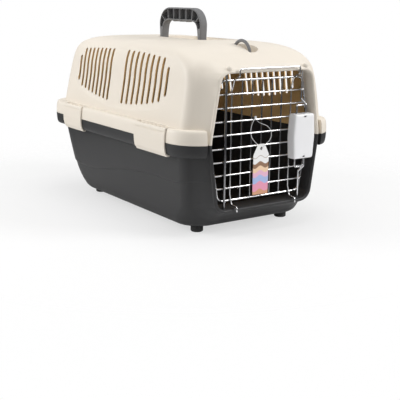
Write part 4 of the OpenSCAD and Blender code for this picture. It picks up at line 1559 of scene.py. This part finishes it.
@dataclass
class Latch:
    """The latch box on the door and its two sprung bolts.

    The cover's edge holds places behind its front with the growth of the outline there.
    """

    x: float = 73.0
    mid: float = 148.0
    width: float = 45.0
    height: float = 72.0
    rear: float = -223.9
    front: float = -239.9
    wall: float = 1.6
    stem_y: float = -232.2
    stems: tuple[float, float] = (61.0, 80.0)
    bolt: float = 1.6
    bolt_bend: float = 2.4
    neck: float = 22.5
    shoulder: float = 13.5
    corner: float = 3.5
    side_bend: float = 80.0
    taper: float = 2.5
    stem_room: float = 1.9
    cover_edge: Profile = ((3.6, -0.15), (2.0, -0.5), (1.1, -1.1), (0.55, -2.1), (0.25, -4.2), (0.08, -8.0),
                           (0.0, -13.0))
    claw_x: tuple[float, float] = (-7.0, 11.0)
    claw_rows: tuple[int, int] = (3, 6)
    claw_width: float = 3.4
    claw_reach: float = 4.2
    claw_round: float = 0.3

    def outline(self, grow: float) -> np.ndarray:
        """The box's outline in X and Z.

        Args:
            grow: How far it is moved outwards.

        Returns:
            Its points.
        """
        end = self.width / 2 - self.taper + grow
        high = self.height / 2 + grow
        side = self.width / 2 + grow
        corners = [(-end, -high), (end, -high), (side, 0), (end, high), (-end, high), (-side, 0)]
        points = round_outline(corners, [self.corner, self.corner, self.side_bend] * 2, 8)
        return points + np.array([self.x, self.mid])

    def block(self, rows: Sequence[tuple[float, float]]) -> Shape:
        """A solid through outlines of the box.

        Args:
            rows: The place along Y and the growth of each outline.

        Returns:
            The shape.
        """
        return Shape().loft([[(x, y, z) for x, z in self.outline(grow)] for y, grow in rows])

    def cover(self) -> None:
        """Makes the box's cover with its soft edges, crowned front and snap windows."""
        f = self.front
        back = self.rear - self.wall
        cover = self.block([(back, 0), *((f + behind, grow) for behind, grow in self.cover_edge)])
        cover = cover.make("latch_front", 50)
        inner = self.block([(f + self.wall, -3), (f + 3.4, -self.wall), (self.rear, -self.wall)])
        inner = inner.make("latch_inner")
        rib = Shape().box((self.x - 26, f - 1, self.mid - 1), (self.x + 26, back - 0.3, self.mid + 1))
        carve(inner, [(Join.TAKE, rib.make("rib"))])
        cuts = Shape()
        room = self.stem_room
        for side in (-1, 1):
            z = self.mid + side * (self.height / 2 - 4)
            cuts.box((self.x - 2.5, f - 2, z - 1.2), (self.x + 2.5, f + 4, z + 1.2))
            z0, z1 = sorted((self.mid + side * 1.2, self.mid + side * 42))
            for x in self.stems:
                cuts.box((x - room, self.stem_y - room, z0), (x + room, self.stem_y + 20, z1))
        carve(cover, [(Join.TAKE, inner), (Join.TAKE, cuts.make("latch_cuts"))], 50)
        dress(cover, WHITE, "door", "white_plastic", "latch_cover")

    def back(self) -> None:
        """Makes the back plate with its claws round the wires."""
        plate = self.block([(self.rear - self.wall, 0), (self.rear - 0.5, 0), (self.rear, -0.5)])
        end = self.rear + self.claw_reach
        for x0 in (self.x + x for x in self.claw_x):
            x1 = x0 + self.claw_width
            for z in (ROW_LOW + row * ROW_PITCH for row in self.claw_rows):
                plate.box((x0, self.rear - 0.6, z + 1.4), (x1, end, z + 2.9), self.claw_round)
                plate.box((x0, self.rear + 2.75, z - 1), (x1, end, z + 2.8), self.claw_round)
        dress(plate.make("latch_plate", 40), WHITE, "door", "white_plastic", "latch_back")

    def one_bolt(self, side: int, tip: float, name: str, body: str, node: str) -> None:
        """Makes one bolt with its finger loop.

        Args:
            side: 1 upwards, -1 downwards.
            tip: The height of its end.
            name: The piece's name.
            body: The body that it rides on.
            node: The CAD node that it stands for.
        """
        end = self.mid + side * self.height / 2
        bar = self.mid + side * 20
        shoulder = end + side * self.shoulder
        left, right = self.stems
        loop = [(right, shoulder), (right, bar), (left, bar), (left, shoulder), (right - 3.5, shoulder)]
        path = [(BOLT_X, BOLT_Y, tip), (BOLT_X, BOLT_Y, end + side * self.neck)]
        path += [(x, self.stem_y, z) for x, z in loop]
        shape = Shape().tube(bent_path(path, self.bolt_bend, 8), self.bolt, 16, guide=(1, 0.2, 0.1))
        dress(shape.make(name, 60), CHROME, body, "chrome_wire", node)

    def build(self) -> None:
        """Makes the latch and dresses it."""
        self.cover()
        self.back()
        self.one_bolt(1, 251.1, "top_bolt", "upper_bolt", "bolt_upper")
        self.one_bolt(-1, 46.5, "low_bolt", "lower_bolt", "bolt_lower")


@dataclass
class SwingTag:
    """The card on its clear loop."""

    x: float = -4.0
    y: float = -226.5
    top: float = 141.0
    width: float = 30.5
    height: float = 80.0
    thick: float = 0.8
    wire_z: float = 179.5
    thread_radius: float = 0.42
    hole_drop: float = 7.0
    hole_radius: float = 2.5
    shoulder: float = 17.0
    lock: tuple[Sequence[float], Sequence[float]] = ((-14.4, -0.4, 1.0), (-11.0, 2.9, 5.4))
    loop: tuple[tuple[float, float, float], ...] = (
        (0, 0, -45.5), (-4, 1.5, -41), (-12, 1.3, -34.5), (-19, 0.9, -26.5), (-21.6, 0.7, -16.5),
        (-19, 0.7, -6.5), (-14.5, 0.9, 1), (-12, 2.6, 4.9), (-9, 5.5, 4.5), (-6.5, 7.1, 1),
        (-4.5, 6.9, -2.5), (-2, 4.7, -5.5), (3, 1.3, -8), (11, 0.6, -11.5), (17.5, 0.5, -18),
        (20, 0.5, -26), (16.5, -0.1, -33.5), (8, -1.5, -39), (3, -1.4, -43))

    def card(self) -> None:
        """Makes the card with its hole."""
        half = self.width / 2
        low = self.top - self.height
        ring = [(-half, low), (half, low), (half, self.top - self.shoulder), (half - 8, self.top - 1.5),
                (half - 10, self.top), (10 - half, self.top), (8 - half, self.top - 1.5),
                (-half, self.top - self.shoulder)]
        ring = round_outline(ring, [0.8, 0.8, 3, 1.2, 1.2, 1.2, 1.2, 3], 4)
        faces = (self.y - self.thick / 2, self.y + self.thick / 2)
        card = Shape().loft([[(self.x + u, y, v) for u, v in ring] for y in faces]).make("card")
        z = self.top - self.hole_drop
        hole = Shape().rod((self.x, self.y - 3, z), (self.x, self.y + 3, z), self.hole_radius)
        carve(card, [(Join.TAKE, hole.make("card_hole"))])
        dress(card, CARD, "swing_tag", "card", "tag_card")

    def thread(self) -> None:
        """Makes the loop with its small lock."""
        wire = (self.x, self.y, self.wire_z)
        path = [[a + b for a, b in zip(wire, point)] for point in self.loop]
        points = smooth_rows(path, 5, closed=True)
        shape = Shape().tube(points, self.thread_radius, 10, closed=True, guide=(0.05, 1, 0.02))
        shape.box(*([a + b for a, b in zip(wire, corner)] for corner in self.lock), 0.5)
        dress(shape.make("tag_thread", 60), THREAD, "swing_tag", "clear_thread", "tag_loop")

    def build(self) -> None:
        """Makes the tag and dresses it."""
        self.card()
        self.thread()


class SmallParts:
    """The clips, rings, feet and springs, which keep the CAD's own solids."""

    def build(self) -> None:
        """Dresses the nodes that stay in view."""
        for where in ("front_left", "front_right", "rear_left", "rear_right"):
            dress_node(f"clip_{where}", CREAM_CLIP)
            dress_node(f"foot_{where}", RUBBER)
        for where in ("front", "rear"):
            dress_node(f"strap_ring_{where}", GREY)
        for where in ("upper", "lower"):
            dress_node(f"latch_spring_{where}", SPRING)


@dataclass
class Studio:
    """The floor, the world, the lamps and the camera.

    Lengths are in metres here. A lamp holds its name, place, aim, side and power in watts.
    """

    azimuth: float = 34.96
    pitch: float = 14.03
    roll: float = 0.82
    lens: float = 73.2
    eye: tuple[float, float, float] = (-0.7949, -1.1936, 0.3611)
    sensor: float = 36.0
    world: float = 0.44
    floor_fade: tuple[float, float] = (0.32, 0.75)
    floor_glow: float = 0.6
    dark_side: tuple[float, float, float] = (0.13, 0.13, 0.135)
    dark_range: tuple[float, float] = (0.05, 0.55)
    lamps: tuple[tuple[str, Sequence[float], Sequence[float], float, float], ...] = (
        ("key", (1.4, -1.7, 1.3), (0, -0.1, 0.15), 0.9, 32),
        ("left_fill", (-1.75, 0.9, 0.9), (0, 0, 0.15), 1.1, 25),
        ("top", (0, -0.1, 1.9), (0, 0, 0.2), 1.2, 9))

    def camera(self) -> None:
        """Places the camera as in the photograph."""
        az, p, r = (math.radians(a) for a in (self.azimuth, self.pitch, self.roll))
        look = Vector((math.sin(az) * math.cos(p), math.cos(az) * math.cos(p), -math.sin(p)))
        right = Vector((math.cos(az), -math.sin(az), 0))
        up = right.cross(look)
        right, up = right * math.cos(r) + up * math.sin(r), up * math.cos(r) - right * math.sin(r)
        turn = Matrix((right, up, -look)).transposed().to_4x4()
        data = bpy.data.cameras.new("camera")
        data.lens = self.lens
        data.sensor_width = self.sensor
        camera = bpy.data.objects.new("camera", data)
        camera.matrix_world = Matrix.Translation(self.eye) @ turn
        bpy.context.scene.collection.objects.link(camera)
        bpy.context.scene.camera = camera

    def floor(self) -> None:
        """Makes a pale floor that fades into the backdrop."""
        bm = bmesh.new()
        bmesh.ops.create_circle(bm, cap_ends=True, radius=4.0, segments=96)
        mesh = bpy.data.meshes.new("floor")
        bm.to_mesh(mesh)
        bm.free()
        floor = bpy.data.objects.new("floor", mesh)
        bpy.context.scene.collection.objects.link(floor)
        paint = bpy.data.materials.new("floor_paint")
        paint.use_nodes = True
        tree = paint.node_tree
        shader = tree.nodes["Principled BSDF"]
        shader.inputs["Base Color"].default_value = (0.9, 0.9, 0.9, 1)
        shader.inputs["Roughness"].default_value = 0.9
        shader.inputs["Specular IOR Level"].default_value = 0.1
        place = tree.nodes.new("ShaderNodeTexCoord")
        reach = tree.nodes.new("ShaderNodeVectorMath")
        reach.operation = "LENGTH"
        fade = tree.nodes.new("ShaderNodeMapRange")
        fade.interpolation_type = "SMOOTHSTEP"
        fade.inputs["From Min"].default_value, fade.inputs["From Max"].default_value = self.floor_fade
        clear = tree.nodes.new("ShaderNodeBsdfTransparent")
        glow = tree.nodes.new("ShaderNodeEmission")
        rays = tree.nodes.new("ShaderNodeLightPath")
        pale = tree.nodes.new("ShaderNodeMath")
        pale.operation = "MULTIPLY"
        pale.inputs[1].default_value = self.floor_glow
        lit = tree.nodes.new("ShaderNodeMixShader")
        mix = tree.nodes.new("ShaderNodeMixShader")
        tree.links.new(rays.outputs["Is Camera Ray"], pale.inputs[0])
        tree.links.new(pale.outputs[0], lit.inputs[0])
        tree.links.new(shader.outputs[0], lit.inputs[1])
        tree.links.new(glow.outputs[0], lit.inputs[2])
        tree.links.new(place.outputs["Object"], reach.inputs[0])
        tree.links.new(reach.outputs["Value"], fade.inputs["Value"])
        tree.links.new(fade.outputs[0], mix.inputs[0])
        tree.links.new(lit.outputs[0], mix.inputs[1])
        tree.links.new(clear.outputs[0], mix.inputs[2])
        tree.links.new(mix.outputs[0], tree.nodes["Material Output"].inputs["Surface"])
        mesh.materials.append(paint)

    def backdrop(self) -> None:
        """Lights the world: white to the camera, soft on surfaces, darker at the sides for metal."""
        world = bpy.data.worlds.new("studio")
        bpy.context.scene.world = world
        world.use_nodes = True
        tree = world.node_tree
        ground = tree.nodes["Background"]
        ground.inputs["Color"].default_value = (1, 1, 1, 1)
        ground.inputs["Strength"].default_value = self.world
        seen = tree.nodes.new("ShaderNodeBackground")
        seen.inputs["Color"].default_value = (1, 1, 1, 1)
        gloss = tree.nodes.new("ShaderNodeBackground")
        place = tree.nodes.new("ShaderNodeTexCoord")
        split = tree.nodes.new("ShaderNodeSeparateXYZ")
        ramp = tree.nodes.new("ShaderNodeValToRGB")
        tones = (self.dark_side, (1, 1, 1))
        for stop, position, colour in zip(ramp.color_ramp.elements, self.dark_range, tones):
            stop.position = position
            stop.color = (*colour, 1)
        tree.links.new(place.outputs["Generated"], split.inputs[0])
        tree.links.new(split.outputs["Z"], ramp.inputs[0])
        tree.links.new(ramp.outputs["Color"], gloss.inputs["Color"])
        rays = tree.nodes.new("ShaderNodeLightPath")
        shine = tree.nodes.new("ShaderNodeMixShader")
        tree.links.new(rays.outputs["Is Glossy Ray"], shine.inputs[0])
        tree.links.new(ground.outputs[0], shine.inputs[1])
        tree.links.new(gloss.outputs[0], shine.inputs[2])
        direct = tree.nodes.new("ShaderNodeMath")
        direct.operation = "MAXIMUM"
        tree.links.new(rays.outputs["Is Camera Ray"], direct.inputs[0])
        tree.links.new(rays.outputs["Is Transmission Ray"], direct.inputs[1])
        mix = tree.nodes.new("ShaderNodeMixShader")
        tree.links.new(direct.outputs[0], mix.inputs[0])
        tree.links.new(shine.outputs[0], mix.inputs[1])
        tree.links.new(seen.outputs[0], mix.inputs[2])
        tree.links.new(mix.outputs[0], tree.nodes["World Output"].inputs["Surface"])

    def lamp(self, name: str, place: Sequence[float], aim: Sequence[float], size: float,
             watts: float) -> None:
        """Hangs one soft lamp.

        Args:
            name: Its name.
            place: Where it hangs, in metres.
            aim: What it looks at.
            size: Its side in metres.
            watts: Its power.
        """
        data = bpy.data.lights.new(name, "AREA")
        data.shape = "SQUARE"
        data.size = size
        data.energy = watts
        lamp = bpy.data.objects.new(name, data)
        turn = (Vector(aim) - Vector(place)).to_track_quat("-Z", "Y").to_matrix().to_4x4()
        lamp.matrix_world = Matrix.Translation(place) @ turn
        bpy.context.scene.collection.objects.link(lamp)

    def build(self) -> None:
        """Sets the studio up."""
        self.camera()
        self.floor()
        self.backdrop()
        for lamp in self.lamps:
            self.lamp(*lamp)
        bpy.context.scene.view_settings.view_transform = "Standard"


def main() -> None:
    """Builds the sub-assemblies in order."""
    logging.basicConfig(level=logging.INFO, format="%(name)s: %(message)s")
    for part in (Studio(), Tub(), TopShell(), Handle(), WireDoor(), Latch(), SwingTag(), SmallParts()):
        log.info("building %s", type(part).__name__)
        part.build()


if __name__ == "__main__":
    main()
